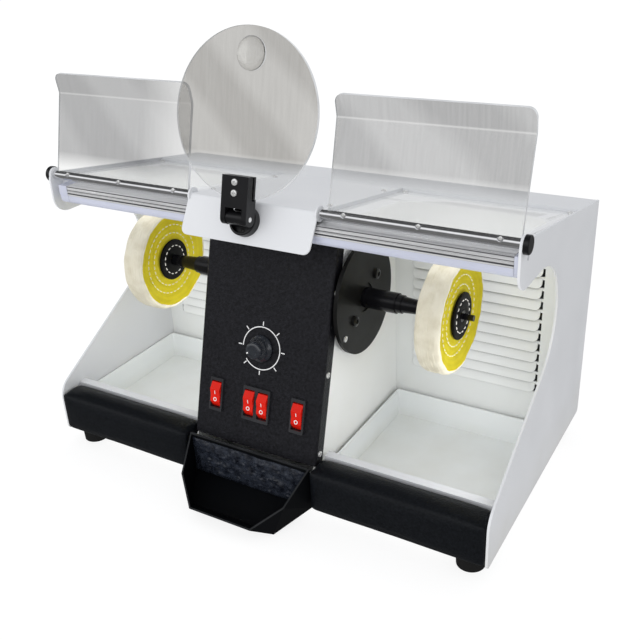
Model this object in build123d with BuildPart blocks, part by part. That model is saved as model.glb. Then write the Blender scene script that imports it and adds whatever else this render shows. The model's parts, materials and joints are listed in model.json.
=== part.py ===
from build123d import *
import os
from math import atan2, cos, hypot, radians, sin, tan

os.makedirs("parts", exist_ok=True)

# Millimetres. X runs along the spindle, Y from the front to the back, Z up from the table.
# The origin is under the middle of the machine, on the table.

# Cabinet
cabinet_width = 450.0
cabinet_depth = 258.5
back_height = 236.0
side_sheet = 2.0
sheet = 1.5
bend_radius = 2.5
seam = 0.3
base_setback = 4.0
apron_drop = 6.0
rail_drop = 0.8
rail_ledge = 8.0

# Feet
foot_height = 14.0
foot_radius = 12.5
foot_taper = 0.5
foot_inset = 20.0

# Hand cut-out in each side panel
cutout_radius = 56.0
cutout_setback = 88.5
cutout_drop = 93.0
lip_angle = 30.0
lip_round = 20.0
nose_round = 16.0
corner_round = 4.0
keeper_radius = 2.0
keeper_back = 9.0
keeper_drop = 13.4

# Recessed top with its windows, and the raised strip behind it
top_drop = 5.0
top_front = 8.0
strip_depth = 66.0
top_flange_height = 20.0
window_inner_edge = 21.5
window_outer_edge = 10.0
window_front = 12.0
window_length = 101.0
window_round = 14.0
pane_thickness = 2.0
pane_screw_inset = 4.5

# Shield rods, shields and their end knobs
rod_setback = 43.5
rod_height = 270.0
rod_below_top = 2.4
rod_radius = 4.0
journal_radius = 2.5
ear_radius = 6.5
ear_round = 5.0
nose_reach = 7.5
lug_radius = 6.5
running = 0.06
knob_cap_radius = 7.2
knob_cap_length = 4.0
knob_cap_round = 1.2
knob_cap_bore = 2.5
shield_thickness = 3.0
shield_lean = 15.0
shield_height = 74.0
shield_lip = 17.5
lip_lean = 8.0
shield_gap = 4.0
shield_shift_right = 3.4
shield_bend = 5.0
shield_round = 6.5
shield_seat = 0.5
shield_screw_radius = 1.0
shield_screw_head = 2.5
shield_screw_count = 3
shield_screw_inset = 14.4
shield_screw_up = 2.0
shield_screw_seat = 3.0

# Bridge plate with the tab that folds down over the column
bridge_half = 62.5
tab_start = 3.0
tab_reach = 21.0
tab_drop = 27.3
tab_round = 6.0
bridge_screw_inset = 4.5
bridge_screw_front = 16.0
bridge_screw_rear = 30.0

# Lamps under the rods
lamp_depth = 13.5
lamp_body_height = 9.0
lamp_diffuser_height = 9.0
lamp_gap = 1.0
lamp_inner = 6.0
lamp_end_gap_left = 8.0
lamp_end_gap_right = 0.3
lamp_cap_left = 10.0
lamp_cap_right = 3.0
groove_width = 1.0
groove_depth = 0.8
groove_count = 3
diffuser_inset = 0.6
diffuser_shoulder_drop = 3.0

# Column and its front panel
column_half = 64.5
panel_sheet = 1.2
panel_flange = 12.0
panel_setback = 11.8
panel_bottom = 52.0
panel_lean = 16.1
panel_screw_radius = 1.5
panel_screw_head = 2.6
panel_screw_inset = 5.6
panel_screw_first = 10.6
panel_screw_pitch = 70.5
panel_screw_count = 3

# Spindle, wheels and bearing flanges
spindle_setback = 96.6
spindle_height = 178.6
plain_flange_radius = 31.0
flange_radius = 50.5
flange_plate = 3.5
flange_boss_radius = 33.0
flange_boss = 5.2
flange_recess_radius = 13.0
flange_recess = 1.2
flange_bolt_circle = 25.0
flange_bolt_count = 2
flange_bolt_angle = 34.0
flange_bolt_radius = 2.5
flange_bolt_head = 4.5
flange_bolt_head_height = 3.0
flange_screw_offset = 44.5
flange_screw_angle = 211.0
shaft_radius = 6.0
bearing_radius = 14.0
bearing_width = 8.0
hub_radius = 16.5
collar_radius = 9.0
collar_length = 31.0
ring_radius = 8.0
ring_length = 5.0
taper_root = 7.0
arbor_radius = 5.0
tip_radius = 2.6
tip_length = 9.5
wheel_position = 150.0
wheel_width = 18.0
wheel_radius = 50.0
wheel_round = 3.0
washer_radius = 20.0
washer_thickness = 2.5

# Motor inside the column
motor_radius = 41.0
motor_wall = 2.5
motor_half = 48.0
core_half = 30.0
core_radius = 26.3
air_gap = 0.7
end_face = 6.0

# Chambers
wall_setback = 174.5
louver_count = 15
louver_pitch = 10.35
louver_top_gap = 13.3
louver_inner_edge = 18.7
louver_outer_edge = 20.0
louver_proud = 3.0
louver_height = 9.0
louver_sheet = 1.0
louver_round = 5.0
louver_bridge = 1.5
louver_end_gap = 1.8
tray_height = 30.0
tray_sheet = 1.2
tray_gap = 1.0
tray_round = 3.0
filter_thickness = 12.0
filter_margin = 6.0

# Extraction fans
fan_size = 80.0
fan_depth = 25.0
fan_bore = 38.0
fan_height = 122.0
fan_hub = 14.0
fan_pin = 2.0
fan_boss = 10.0
strut_count = 3
strut_width = 4.0
strut_depth = 3.0
blade_count = 7
blade_tip = 36.0
blade_chord = 16.0
blade_thickness = 1.6
blade_pitch = 35.0
vent_count = 8
vent_pitch = 8.0
vent_length = 62.0
vent_width = 4.0

# Armrests
armrest_depth = 28.0
armrest_proud = 4.0
armrest_top = 58.0
armrest_overhang = 6.0
armrest_inner = 65.3
armrest_corner = 5.0
armrest_toe = 2.5
armrest_back_corner = 2.5
armrest_crown = 0.9
armrest_end_crown = 0.3
armrest_draw = 0.4
armrest_shoulder_draw = 0.6
armrest_end_draw = 0.9
armrest_shoulder = 11.0

# Catch scoop
scoop_reach = 46.0
scoop_height = 55.0
scoop_sheet = 1.5
scoop_lip_height = 13.6
scoop_lip_half = 32.2
scoop_fold = 20.4
scoop_fold_half = 54.7
scoop_keel_height = 2.0
scoop_keel = 16.6
scoop_keel_half = 44.8
liner_thickness = 1.6
liner_margin = 2.0

# Controls on the front panel
switch_station = 40.6
switch_spacing = 43.0
bezel_height = 31.0
bezel_width = 14.0
double_bezel_width = 28.0
bezel_rim = 2.0
bezel_lap = 1.0
bezel_body = 18.0
rocker_width = 10.0
rocker_length = 23.6
rocker_fit = 0.25
rocker_end_fit = 0.8
rocker_end = 3.2
rocker_crest = 7.0
rocker_valley = 6.2
rocker_keel = 6.0
rocker_keel_half = 4.0
rocker_depth = 3.0
rocker_tilt = 9.0
knob_station = 92.0
knob_radius = 10.0
knob_skirt_radius = 12.0
knob_skirt = 3.0
knob_height = 14.0
knob_round = 3.0
knob_draft = 4.0
stem_radius = 3.0
stem_depth = 8.0
bushing_radius = 4.5
control_radius = 8.5
control_depth = 14.0

# Power inlet on the rear panel
inlet_height = 50.0
inlet_width = 27.0
inlet_tall = 20.0
inlet_lap = 2.0
inlet_bezel = 2.5
inlet_body = 22.0
inlet_wall = 2.5
inlet_recess = 16.0
inlet_pin_length = 10.0
inlet_pin_width = 2.0
inlet_pin_tall = 3.5
inlet_pin_spacing = 7.3
inlet_pin_rise = 2.5

# Magnifier on the tab
mag_base_rise = 18.3
mag_base_radius = 12.5
mag_base_height = 7.0
mag_base_round = 1.0
mag_dish_wall = 1.8
mag_dish_depth = 4.0
mag_pivot_height = 14.0
mag_lug_width = 15.4
mag_lug_radius = 5.5
mag_pin_radius = 2.0
mag_lean = 14.5
clamp_width = 24.8
clamp_depth = 12.0
clamp_height = 33.2
clamp_fork = 8.0
lens_radius = 65.5
lens_thickness = 2.9
lens_slot_fit = 0.1
lens_setback = 2.2
lens_height = 80.0
bullseye_height = 45.0
bullseye_offset = 3.8
bullseye_radius = 13.0
bullseye_proud = 1.0
clamp_screw_low = 19.8
clamp_screw_spacing = 8.5
clamp_screw_radius = 1.2
clamp_screw_head = 2.6

# Small fastener heads
head_height = 1.5
hole_fit = 0.1

# Places worked out from the sizes above
overall_depth = cabinet_depth + scoop_reach + inlet_bezel
y_rear = overall_depth / 2 - inlet_bezel
y_front = y_rear - cabinet_depth
y_rod = y_front + rod_setback
y_spindle = y_front + spindle_setback
y_panel = y_front + panel_setback
y_wall = y_front + wall_setback
y_base = y_front + base_setback
y_armrest_back = y_front - armrest_proud + armrest_depth
cutout_height = rod_height - cutout_drop
x_side = cabinet_width / 2
x_inner = x_side - side_sheet
x_wall = column_half - panel_sheet
z_floor = foot_height + sheet
z_top_rod = rod_height + rod_below_top
slope = atan2(z_top_rod - back_height, y_rear - y_rod)
lean = radians(panel_lean)
fan_x = (x_wall + x_inner) / 2
SIDES = (("left", -1), ("right", 1))
QUARTER = 90.0
HALF = 180.0


def on_top(back, out):
    """A (y, z) point on the sloping top, counted back from the rod and out of the surface."""
    return (
        y_rod + back * cos(slope) + out * sin(slope),
        z_top_rod - back * sin(slope) + out * cos(slope),
    )


def top_z(y, drop):
    """Height of a surface that lies this far below the sloping top."""
    return back_height + (y_rear - y) * tan(slope) - drop / cos(slope)


def on_panel(up, out):
    """A (y, z) point up the front panel from its bottom edge and out of its face."""
    return (
        y_panel + up * sin(lean) - out * cos(lean),
        panel_bottom + up * cos(lean) + out * sin(lean),
    )


def leaning(y, z, degrees_back):
    """A plane facing the front that leans back, with its own Y axis running up it."""
    angle = radians(degrees_back)
    return Plane(origin=(0, y, z), x_dir=(1, 0, 0), z_dir=(0, -cos(angle), sin(angle)))


def section(plane, x=0):
    """The plane across X through a leaning plane's origin: its X runs up, its Y runs out."""
    return Plane(origin=plane.origin + Vector(x, 0, 0), x_dir=plane.y_dir, z_dir=(1, 0, 0))


def rear_plane(x, z):
    """A plane on the rear panel's outer face that looks into the cabinet."""
    return Plane((x, y_rear, z), x_dir=(1, 0, 0), z_dir=(0, -1, 0))


def keep(piece, label):
    """Name a finished piece and write it as its own file."""
    piece.part.label = label
    export_step(piece.part, f"parts/{label}.step")


top_plane = Plane(origin=(0, y_rod, z_top_rod), x_dir=(1, 0, 0), z_dir=(0, sin(slope), cos(slope)))
panel_plane = leaning(y_panel, panel_bottom, panel_lean)
shield_plane = leaning(y_rod, rod_height, shield_lean)
spin_axis = Axis((0, y_spindle, spindle_height), (1, 0, 0))
under_top = top_drop + sheet
v_rear = (y_rear - sheet - y_rod) / cos(slope)
v_strip = (y_rear - y_rod) / cos(slope) - strip_depth
y_top_front, z_top_front = on_top(top_front, -top_drop)
lamp_top = rod_height - lug_radius - lamp_gap
panel_length = (top_z(y_panel, under_top + seam) - panel_bottom) / (cos(lean) + sin(lean) * tan(slope))


def spin_plane(sign):
    """A plane through the spindle: its X runs out to one side, its Y is the radius."""
    return Plane(origin=(0, y_spindle, spindle_height), x_dir=(sign, 0, 0), z_dir=(0, 0, 1))


# Side panels with the hand cut-out, the nose and the round ear that carries the rod
lip = radians(lip_angle)
y_cut = y_front + cutout_setback
cut_top = cutout_height + cutout_radius
y_nose = y_rod - nose_reach
y_lip_end = y_cut + cutout_radius * sin(lip)
z_lip_end = cutout_height - cutout_radius * cos(lip)
z_lip_front = z_lip_end - (y_lip_end - y_front) * tan(lip)

for side, sign in SIDES:
    with BuildPart() as side_panel:
        with BuildSketch(Plane.YZ.offset(sign * x_side)):
            with BuildLine():
                Polyline(
                    (y_cut, cut_top),
                    (y_nose, cut_top),
                    (y_nose, rod_height),
                    (y_rod, z_top_rod),
                    (y_rear, back_height),
                    (y_rear, foot_height),
                    (y_front, foot_height),
                    (y_front, z_lip_front),
                    (y_lip_end, z_lip_end),
                )
                CenterArc((y_cut, cutout_height), cutout_radius, lip_angle - QUARTER, HALF - lip_angle)
            make_face()
            fillet(vertices().sort_by_distance((y_nose, cut_top))[0], nose_round)
            fillet(vertices().sort_by_distance((y_nose, rod_height))[0], ear_round)
            fillet(vertices().sort_by_distance((y_front, z_lip_front))[0], lip_round)
            fillet(vertices().sort_by_distance((y_front, foot_height))[0], corner_round)
            fillet(vertices().sort_by_distance((y_rear, foot_height))[0], corner_round)
            with Locations((y_rod, rod_height)):
                Circle(ear_radius)
                Circle(rod_radius + running, mode=Mode.SUBTRACT)
            with Locations((y_rod + keeper_back, rod_height - keeper_drop)):
                Circle(keeper_radius, mode=Mode.SUBTRACT)
        extrude(amount=-sign * side_sheet)
    keep(side_panel, f"side_panel_{side}")

# Base pan: floor cut back under the armrests, apron behind the scoop, a ledged rail behind each armrest
rail_inner = column_half + head_height + tray_gap
rail_length = x_inner - seam - rail_inner
rail_top = armrest_top - rail_drop
with BuildPart() as base_pan:
    with BuildSketch(Plane.XY.offset(foot_height)):
        with Locations((0, (y_base + y_rear) / 2)):
            Rectangle(2 * x_inner, y_rear - y_base)
        for _, sign in SIDES:
            with Locations((sign * fan_x, y_base + armrest_overhang / 2)):
                Rectangle(x_inner - x_wall, armrest_overhang, mode=Mode.SUBTRACT)
    extrude(amount=sheet)
    with BuildSketch(Plane.XY.offset(z_floor)):
        with Locations((0, y_base + sheet / 2)):
            Rectangle(2 * x_wall, sheet)
    extrude(amount=armrest_top - apron_drop - z_floor)
    with BuildSketch(Plane.XY.offset(z_floor)):
        for _, sign in SIDES:
            with Locations((sign * (rail_inner + rail_length / 2), y_armrest_back + sheet / 2)):
                Rectangle(rail_length, sheet)
    extrude(amount=rail_top - z_floor)
    with BuildSketch(Plane.XY.offset(rail_top)):
        for _, sign in SIDES:
            with Locations((sign * (rail_inner + rail_length / 2), y_armrest_back + rail_ledge / 2)):
                Rectangle(rail_length, rail_ledge)
    extrude(amount=-sheet)
keep(base_pan, "base_pan")

# Rubber feet, one under each corner
x_foot = x_side - foot_inset
foot_rows = (y_base + foot_radius + sheet, y_rear - foot_inset - foot_radius)
with BuildPart() as rubber_feet:
    for y_foot in foot_rows:
        for _, sign in SIDES:
            with BuildSketch(Plane((sign * x_foot, y_foot, 0))):
                Circle(foot_radius - foot_taper)
            with BuildSketch(Plane((sign * x_foot, y_foot, foot_height))):
                Circle(foot_radius)
            loft()
keep(rubber_feet, "rubber_feet")

# Rear panel: the back, the raised strip over the top and its front lip, with vents and the inlet's hole
with BuildPart() as rear_panel:
    with BuildSketch(Plane.YZ):
        with BuildLine():
            FilletPolyline(
                (y_rear, z_floor),
                (y_rear, back_height),
                on_top(v_strip, 0),
                on_top(v_strip, -top_drop),
                radius=bend_radius,
            )
            offset(amount=sheet, side=Side.LEFT)
        make_face()
    extrude(amount=x_inner, both=True)
    for _, sign in SIDES:
        with BuildSketch(rear_plane(sign * fan_x, fan_height)):
            with GridLocations(vent_pitch, 0, vent_count, 1):
                SlotOverall(vent_length, vent_width, rotation=QUARTER)
        extrude(amount=sheet, mode=Mode.SUBTRACT)
    with BuildSketch(rear_plane(0, inlet_height)):
        Rectangle(inlet_width + 2 * hole_fit, inlet_tall + 2 * hole_fit)
    extrude(amount=sheet, mode=Mode.SUBTRACT)
keep(rear_panel, "rear_panel")

# Top panel: recessed plate with two windows, folded down in front to carry the lamps
window_inner = bridge_half + window_inner_edge
window_outer = x_inner - window_outer_edge
window_x = (window_inner + window_outer) / 2
window_v = window_front + window_length / 2
with BuildPart() as top_panel:
    with BuildSketch(Plane.YZ):
        with BuildLine():
            FilletPolyline(
                on_top(v_rear, -top_drop),
                (y_top_front, z_top_front),
                (y_top_front, z_top_front - top_flange_height),
                radius=bend_radius,
            )
            offset(amount=sheet, side=Side.LEFT)
        make_face()
    extrude(amount=x_inner, both=True)
    with BuildSketch(top_plane.offset(-under_top)):
        with Locations((-window_x, window_v), (window_x, window_v)):
            RectangleRounded(window_outer - window_inner, window_length, window_round)
    extrude(amount=2 * sheet, mode=Mode.SUBTRACT)
keep(top_panel, "top_panel")

# Clear panes over the windows, from the bridge plate to the side panels
pane_inner = bridge_half + seam
pane_outer = x_inner - seam
with BuildPart() as window_panes:
    with BuildSketch(top_plane.offset(-top_drop)):
        for _, sign in SIDES:
            with Locations((sign * (pane_inner + pane_outer) / 2, (top_front + v_strip) / 2)):
                Rectangle(pane_outer - pane_inner, v_strip - top_front - 2 * seam)
    extrude(amount=pane_thickness)
keep(window_panes, "window_panes")

# Bridge plate: raised centre strip, rod lugs, and the tab that folds down in front
tab_top = on_top(-tab_start, 0)
tab_end = (y_rod - tab_reach, rod_height - tab_drop)
tab_length = hypot(tab_top[0] - tab_end[0], tab_top[1] - tab_end[1])
tab_up = ((tab_top[0] - tab_end[0]) / tab_length, (tab_top[1] - tab_end[1]) / tab_length)
tab_out = (-tab_up[1], tab_up[0])
skirt_length = v_strip - seam - top_front
with BuildPart() as bridge_plate:
    with BuildSketch(Plane.YZ):
        with BuildLine():
            FilletPolyline(on_top(v_strip - seam, 0), tab_top, tab_end, radius=bend_radius)
            offset(amount=sheet, side=Side.LEFT)
        make_face()
    extrude(amount=bridge_half, both=True)
    tab_edge = faces().sort_by(Axis.Z)[0]
    fillet(tab_edge.edges().sort_by(SortBy.LENGTH)[:2], tab_round)
    with BuildSketch(top_plane.offset(-top_drop)):
        for _, sign in SIDES:
            with Locations((sign * (bridge_half - sheet / 2), top_front + skirt_length / 2)):
                Rectangle(sheet, skirt_length)
    extrude(amount=top_drop - sheet / 2)
    for _, sign in SIDES:
        with BuildSketch(Plane.YZ.offset(sign * bridge_half)):
            with Locations((y_rod, rod_height)):
                Circle(lug_radius)
        extrude(amount=-sign * sheet)
        with BuildSketch(Plane.YZ.offset(sign * bridge_half)):
            with Locations((y_rod, rod_height)):
                Circle(journal_radius + running)
        extrude(amount=-sign * sheet, mode=Mode.SUBTRACT)
keep(bridge_plate, "bridge_plate")

# Screws that hold the bridge plate and the panes
bridge_screw_x = bridge_half - bridge_screw_inset
bridge_screw_rows = (top_front + bridge_screw_front, v_strip - bridge_screw_rear)
pane_screw_columns = pane_outer - pane_inner - 2 * pane_screw_inset
pane_screw_rows = v_strip - top_front - 2 * (seam + pane_screw_inset)
with BuildPart() as top_screws:
    with BuildSketch(top_plane):
        for v_screw in bridge_screw_rows:
            with Locations((bridge_screw_x, v_screw), (-bridge_screw_x, v_screw)):
                Circle(panel_screw_head)
    extrude(amount=head_height)
    with BuildSketch(top_plane.offset(pane_thickness - top_drop)):
        for _, sign in SIDES:
            with Locations((sign * (pane_inner + pane_outer) / 2, (top_front + v_strip) / 2)):
                with GridLocations(pane_screw_columns, pane_screw_rows, 2, 2):
                    Circle(panel_screw_head)
    extrude(amount=head_height)
keep(top_screws, "top_screws")

# Column walls behind the front panel's flanges, bored for the bearing hubs
wall_front = -(bend_radius + seam)
wall_top = on_panel(panel_length, wall_front)
wall_foot = on_panel(0, wall_front)
screw_stations = [panel_screw_first + panel_screw_pitch * k for k in range(panel_screw_count)]
for side, sign in SIDES:
    with BuildPart() as column_wall:
        with BuildSketch(Plane.YZ.offset(sign * x_wall)):
            with BuildLine():
                Polyline(
                    (y_base + sheet, z_floor),
                    (y_rear - sheet, z_floor),
                    (y_rear - sheet, top_z(y_rear - sheet, under_top)),
                    (wall_top[0], top_z(wall_top[0], under_top)),
                    wall_foot,
                    (y_base + sheet, wall_foot[1] - panel_setback),
                    close=True,
                )
            make_face()
            with Locations((y_spindle, spindle_height)):
                Circle(hub_radius + hole_fit, mode=Mode.SUBTRACT)
                with PolarLocations(flange_bolt_circle, flange_bolt_count, flange_bolt_angle):
                    Circle(flange_bolt_radius + hole_fit, mode=Mode.SUBTRACT)
        extrude(amount=-sign * sheet)
        with BuildSketch(section(panel_plane, sign * x_wall)):
            with Locations(*[(up, -panel_screw_inset) for up in screw_stations]):
                Circle(panel_screw_radius + hole_fit)
        extrude(amount=-sign * sheet, mode=Mode.SUBTRACT)
    keep(column_wall, f"column_wall_{side}")

# Front panel: leaning channel with cut-outs for the switches and the speed control
switch_places = (-switch_spacing, 0.0, switch_spacing)
bezel_widths = (bezel_width, double_bezel_width, bezel_width)
panel_foot = Plane(origin=panel_plane.origin, x_dir=(1, 0, 0), z_dir=panel_plane.y_dir)
with BuildPart() as front_panel:
    with BuildSketch(panel_foot):
        with BuildLine():
            FilletPolyline(
                (-column_half, panel_flange),
                (-column_half, 0),
                (column_half, 0),
                (column_half, panel_flange),
                radius=bend_radius,
            )
            offset(amount=panel_sheet, side=Side.LEFT)
        make_face()
    extrude(amount=panel_length)
    with BuildSketch(panel_plane):
        for x_switch, width in zip(switch_places, bezel_widths):
            with Locations((x_switch, switch_station)):
                Rectangle(width - 2 * bezel_lap + hole_fit, bezel_height - 2 * bezel_lap + hole_fit)
        with Locations((0, knob_station)):
            Circle(bushing_radius + hole_fit)
    extrude(amount=-2 * panel_sheet, mode=Mode.SUBTRACT)
    with BuildSketch(section(panel_plane, -column_half)):
        with Locations(*[(up, -panel_screw_inset) for up in screw_stations]):
            Circle(panel_screw_radius + hole_fit)
    extrude(amount=2 * column_half, mode=Mode.SUBTRACT)
keep(front_panel, "front_panel")

# Screws through the front panel's flanges into the column walls
with BuildPart() as panel_screws:
    for _, sign in SIDES:
        with BuildSketch(section(panel_plane, sign * column_half)):
            with Locations(*[(up, -panel_screw_inset) for up in screw_stations]):
                Circle(panel_screw_head)
        extrude(amount=sign * head_height)
        fillet(faces().sort_by(Axis.X)[-1 if sign > 0 else 0].edges(), head_height / 2)
        with BuildSketch(section(panel_plane, sign * column_half)):
            with Locations(*[(up, -panel_screw_inset) for up in screw_stations]):
                Circle(panel_screw_radius)
        extrude(amount=-sign * (panel_sheet + sheet))
keep(panel_screws, "panel_screws")

# Louvered back wall of each chamber: slats pressed out of the sheet, open below and at the outer end
louver_inner = x_wall + louver_inner_edge
louver_outer = x_inner - louver_outer_edge
louver_middle = (louver_inner + louver_outer) / 2
louver_length = louver_outer - louver_inner
louver_slant = hypot(louver_proud, louver_height)
louver_opening = louver_height - louver_bridge
opening_middle = louver_middle + louver_end_gap / 2
wall_height = top_z(y_wall + sheet, under_top) - z_floor
louver_rows = (louver_count - 1) * louver_pitch + louver_height
louver_bottom = z_floor + wall_height - louver_top_gap - louver_rows
louver_feet = [louver_bottom + k * louver_pitch for k in range(louver_count)]
for side, sign in SIDES:
    with BuildPart() as louver_panel:
        with BuildSketch(Plane.XZ.offset(-y_wall)):
            with Locations((sign * fan_x, z_floor + wall_height / 2)):
                Rectangle(x_inner - x_wall, wall_height)
            with Locations(*[(sign * opening_middle, foot + louver_opening / 2) for foot in louver_feet]):
                Rectangle(louver_length + louver_end_gap, louver_opening, mode=Mode.SUBTRACT)
        extrude(amount=-sheet)
        for foot in louver_feet:
            hinge = (sign * louver_middle, y_wall, foot + louver_height)
            with BuildSketch(Plane(hinge, x_dir=(1, 0, 0), z_dir=(0, -louver_height, louver_proud))):
                with Locations((0, -louver_slant / 2)):
                    Rectangle(louver_length, louver_slant)
                fillet(vertices().group_by(Axis.Y)[0], louver_round)
            extrude(amount=-louver_sheet)
    keep(louver_panel, f"louver_panel_{side}")

# Filter pads behind the louvers
with BuildPart() as filter_pads:
    with BuildSketch(Plane.XZ.offset(-(y_wall + sheet))):
        for _, sign in SIDES:
            with Locations((sign * louver_middle, louver_bottom + louver_rows / 2)):
                Rectangle(louver_length + 2 * filter_margin, louver_rows + 2 * filter_margin)
    extrude(amount=-filter_thickness)
keep(filter_pads, "filter_pads")

# Lift-out chip trays
tray_inner = column_half + head_height + tray_gap
tray_outer = x_inner - tray_gap
tray_front = y_armrest_back + rail_ledge + tray_gap
tray_back = y_wall - louver_proud - tray_gap
for side, sign in SIDES:
    with BuildPart() as chip_tray:
        with BuildSketch(Plane.XY.offset(z_floor + seam)):
            with Locations((sign * (tray_inner + tray_outer) / 2, (tray_front + tray_back) / 2)):
                RectangleRounded(tray_outer - tray_inner, tray_back - tray_front, tray_round)
        extrude(amount=tray_height)
        offset(amount=-tray_sheet, openings=faces().sort_by(Axis.Z)[-1])
    keep(chip_tray, f"chip_tray_{side}")

# Extraction fans on the rear panel
with BuildPart() as fan_frames:
    for _, sign in SIDES:
        fan_plane = rear_plane(sign * fan_x, fan_height).offset(sheet)
        with BuildSketch(fan_plane):
            Rectangle(fan_size, fan_size)
            Circle(fan_bore, mode=Mode.SUBTRACT)
        extrude(amount=fan_depth)
        with BuildSketch(fan_plane):
            Circle(fan_boss)
            with PolarLocations(fan_bore / 2, strut_count):
                Rectangle(fan_bore + strut_width, strut_width)
            Circle(fan_pin + running, mode=Mode.SUBTRACT)
        extrude(amount=strut_depth)
keep(fan_frames, "fan_frames")

rotor_start = strut_depth + seam
rotor_length = fan_depth - rotor_start - seam
for side, sign in SIDES:
    fan_plane = rear_plane(sign * fan_x, fan_height).offset(sheet)
    rotor_middle = fan_plane.offset(rotor_start + rotor_length / 2).origin
    with BuildPart() as fan_rotor:
        with BuildSketch(fan_plane.offset(rotor_start)):
            Circle(fan_hub)
        extrude(amount=rotor_length)
        with BuildSketch(fan_plane.offset(seam)):
            Circle(fan_pin)
        extrude(amount=rotor_start)
        for k in range(blade_count):
            turn = radians(2 * HALF / blade_count * k)
            radial = Vector(cos(turn), 0, sin(turn))
            root = rotor_middle + radial * (fan_hub - blade_thickness)
            with BuildSketch(Plane(root, x_dir=(0, -1, 0), z_dir=radial)):
                Rectangle(blade_chord, blade_thickness, rotation=blade_pitch)
            extrude(amount=blade_tip - fan_hub + blade_thickness)
    keep(fan_rotor, f"fan_rotor_{side}")

# Armrest cushions: crowned bars drawn in at their ends
armrest_end = x_inner - seam
y_cushion = y_front - armrest_proud
z_cushion = z_floor + seam


def armrest_outline(draw, crown):
    """Corners and crown points of one cross-section, square at the seat and the back."""
    y0 = y_cushion + draw
    y1 = y_armrest_back - seam
    z0 = z_cushion
    z1 = armrest_top - draw
    r = armrest_corner
    b = armrest_back_corner
    t = armrest_toe
    inset = 1 - cos(radians(QUARTER / 2))
    c = r * inset
    back = ((y1, z1 - b), (y1 - b * inset, z1 - b * inset), (y1 - b, z1))
    top = ((y1 - b, z1), ((y0 + y1) / 2, z1 + crown), (y0 + r, z1))
    brow = ((y0 + r, z1), (y0 + c, z1 - c), (y0, z1 - r))
    front = ((y0, z1 - r), (y0 - crown, (z0 + z1) / 2), (y0, z0 + t))
    toe = ((y0, z0 + t), (y0 + t * inset, z0 + t * inset), (y0 + t, z0))
    return (y1, z0), (back, top, brow, front, toe)


armrest_stations = (
    (armrest_inner, armrest_end_draw, armrest_end_crown),
    (armrest_inner + armrest_shoulder, armrest_shoulder_draw, armrest_crown),
    ((armrest_inner + armrest_end) / 2, armrest_draw, armrest_crown),
    (armrest_end - armrest_shoulder, armrest_shoulder_draw, armrest_crown),
    (armrest_end, armrest_end_draw, armrest_end_crown),
)
for side, sign in SIDES:
    with BuildPart() as armrest:
        for x, draw, crown in armrest_stations:
            heel, arcs = armrest_outline(draw, crown)
            with BuildSketch(Plane.YZ.offset(sign * x)):
                with BuildLine():
                    Line(heel, arcs[0][0])
                    for start, middle, end in arcs:
                        ThreePointArc(start, middle, end)
                    Line(arcs[-1][2], heel)
                make_face()
        loft()
    keep(armrest, f"armrest_{side}")

# Catch scoop: folded tray with a slanting rim, folded-in front corners and a keel that hangs below the base
scoop_back = y_base
scoop_front = y_front - scoop_reach
scoop_half = column_half - panel_sheet / 2
rim_run = scoop_back - scoop_front
rim_fall = scoop_height - scoop_lip_height
rim_plane = Plane(origin=(0, scoop_back, scoop_height), x_dir=(1, 0, 0), z_dir=(0, -rim_fall, rim_run))
fold_height = scoop_lip_height + scoop_fold * rim_fall / rim_run
with BuildPart() as catch_scoop:
    with BuildSketch(Plane.YZ):
        with BuildLine():
            Polyline(
                (scoop_back, scoop_height),
                (scoop_front, scoop_lip_height),
                (scoop_front + scoop_keel, scoop_keel_height),
                (scoop_back, foot_height),
                close=True,
            )
        make_face()
    extrude(amount=scoop_half, both=True)
    for _, sign in SIDES:
        top_corner = Vector(sign * scoop_half, scoop_back, scoop_height)
        low_corner = Vector(sign * scoop_half, scoop_back, foot_height)
        fold_corner = Vector(sign * scoop_fold_half, scoop_front + scoop_fold, fold_height)
        lip_corner = Vector(sign * scoop_lip_half, scoop_front, scoop_lip_height)
        keel_corner = Vector(sign * scoop_keel_half, scoop_front + scoop_keel, scoop_keel_height)
        for one, two, three in (
            (low_corner, top_corner, fold_corner),
            (keel_corner, low_corner, fold_corner),
            (lip_corner, keel_corner, fold_corner),
        ):
            outward = (two - one).cross(three - one) * sign
            split(bisect_by=Plane(origin=one, z_dir=outward), keep=Keep.BOTTOM)
    offset(amount=-scoop_sheet, openings=faces().filter_by(rim_plane)[0])
keep(catch_scoop, "catch_scoop")

# Textured liner on the scoop's back wall
liner_bottom = foot_height + scoop_sheet + seam
liner_top = scoop_height - liner_margin - liner_thickness
with BuildPart() as scoop_liner:
    with BuildSketch(Plane.XZ.offset(-(scoop_back - scoop_sheet))):
        with Locations((0, (liner_bottom + liner_top) / 2)):
            Rectangle(2 * (scoop_half - scoop_sheet - liner_margin), liner_top - liner_bottom)
    extrude(amount=liner_thickness)
keep(scoop_liner, "scoop_liner")

# Lamps: grooved bodies on the top panel's front fold, with rounded diffusers below and end caps
lamp_back = y_top_front
lamp_caps = {"left": lamp_cap_left, "right": lamp_cap_right}
lamp_cap_starts = {
    "left": x_inner - lamp_end_gap_left - lamp_cap_left,
    "right": x_inner - lamp_end_gap_right - lamp_cap_right,
}
lamp_middle = lamp_top - lamp_body_height
with BuildPart() as lamp_bodies:
    for side, sign in SIDES:
        with BuildSketch(Plane.YZ.offset(sign * lamp_inner)):
            with Locations((lamp_back - lamp_depth / 2, lamp_top - lamp_body_height / 2)):
                Rectangle(lamp_depth, lamp_body_height)
            with Locations((lamp_back - lamp_depth + groove_depth / 2, lamp_top - lamp_body_height / 2)):
                with GridLocations(0, lamp_body_height / (groove_count + 1), 1, groove_count):
                    Rectangle(groove_depth, groove_width, mode=Mode.SUBTRACT)
        extrude(amount=sign * (lamp_cap_starts[side] - lamp_inner))
keep(lamp_bodies, "lamp_bodies")

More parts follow.
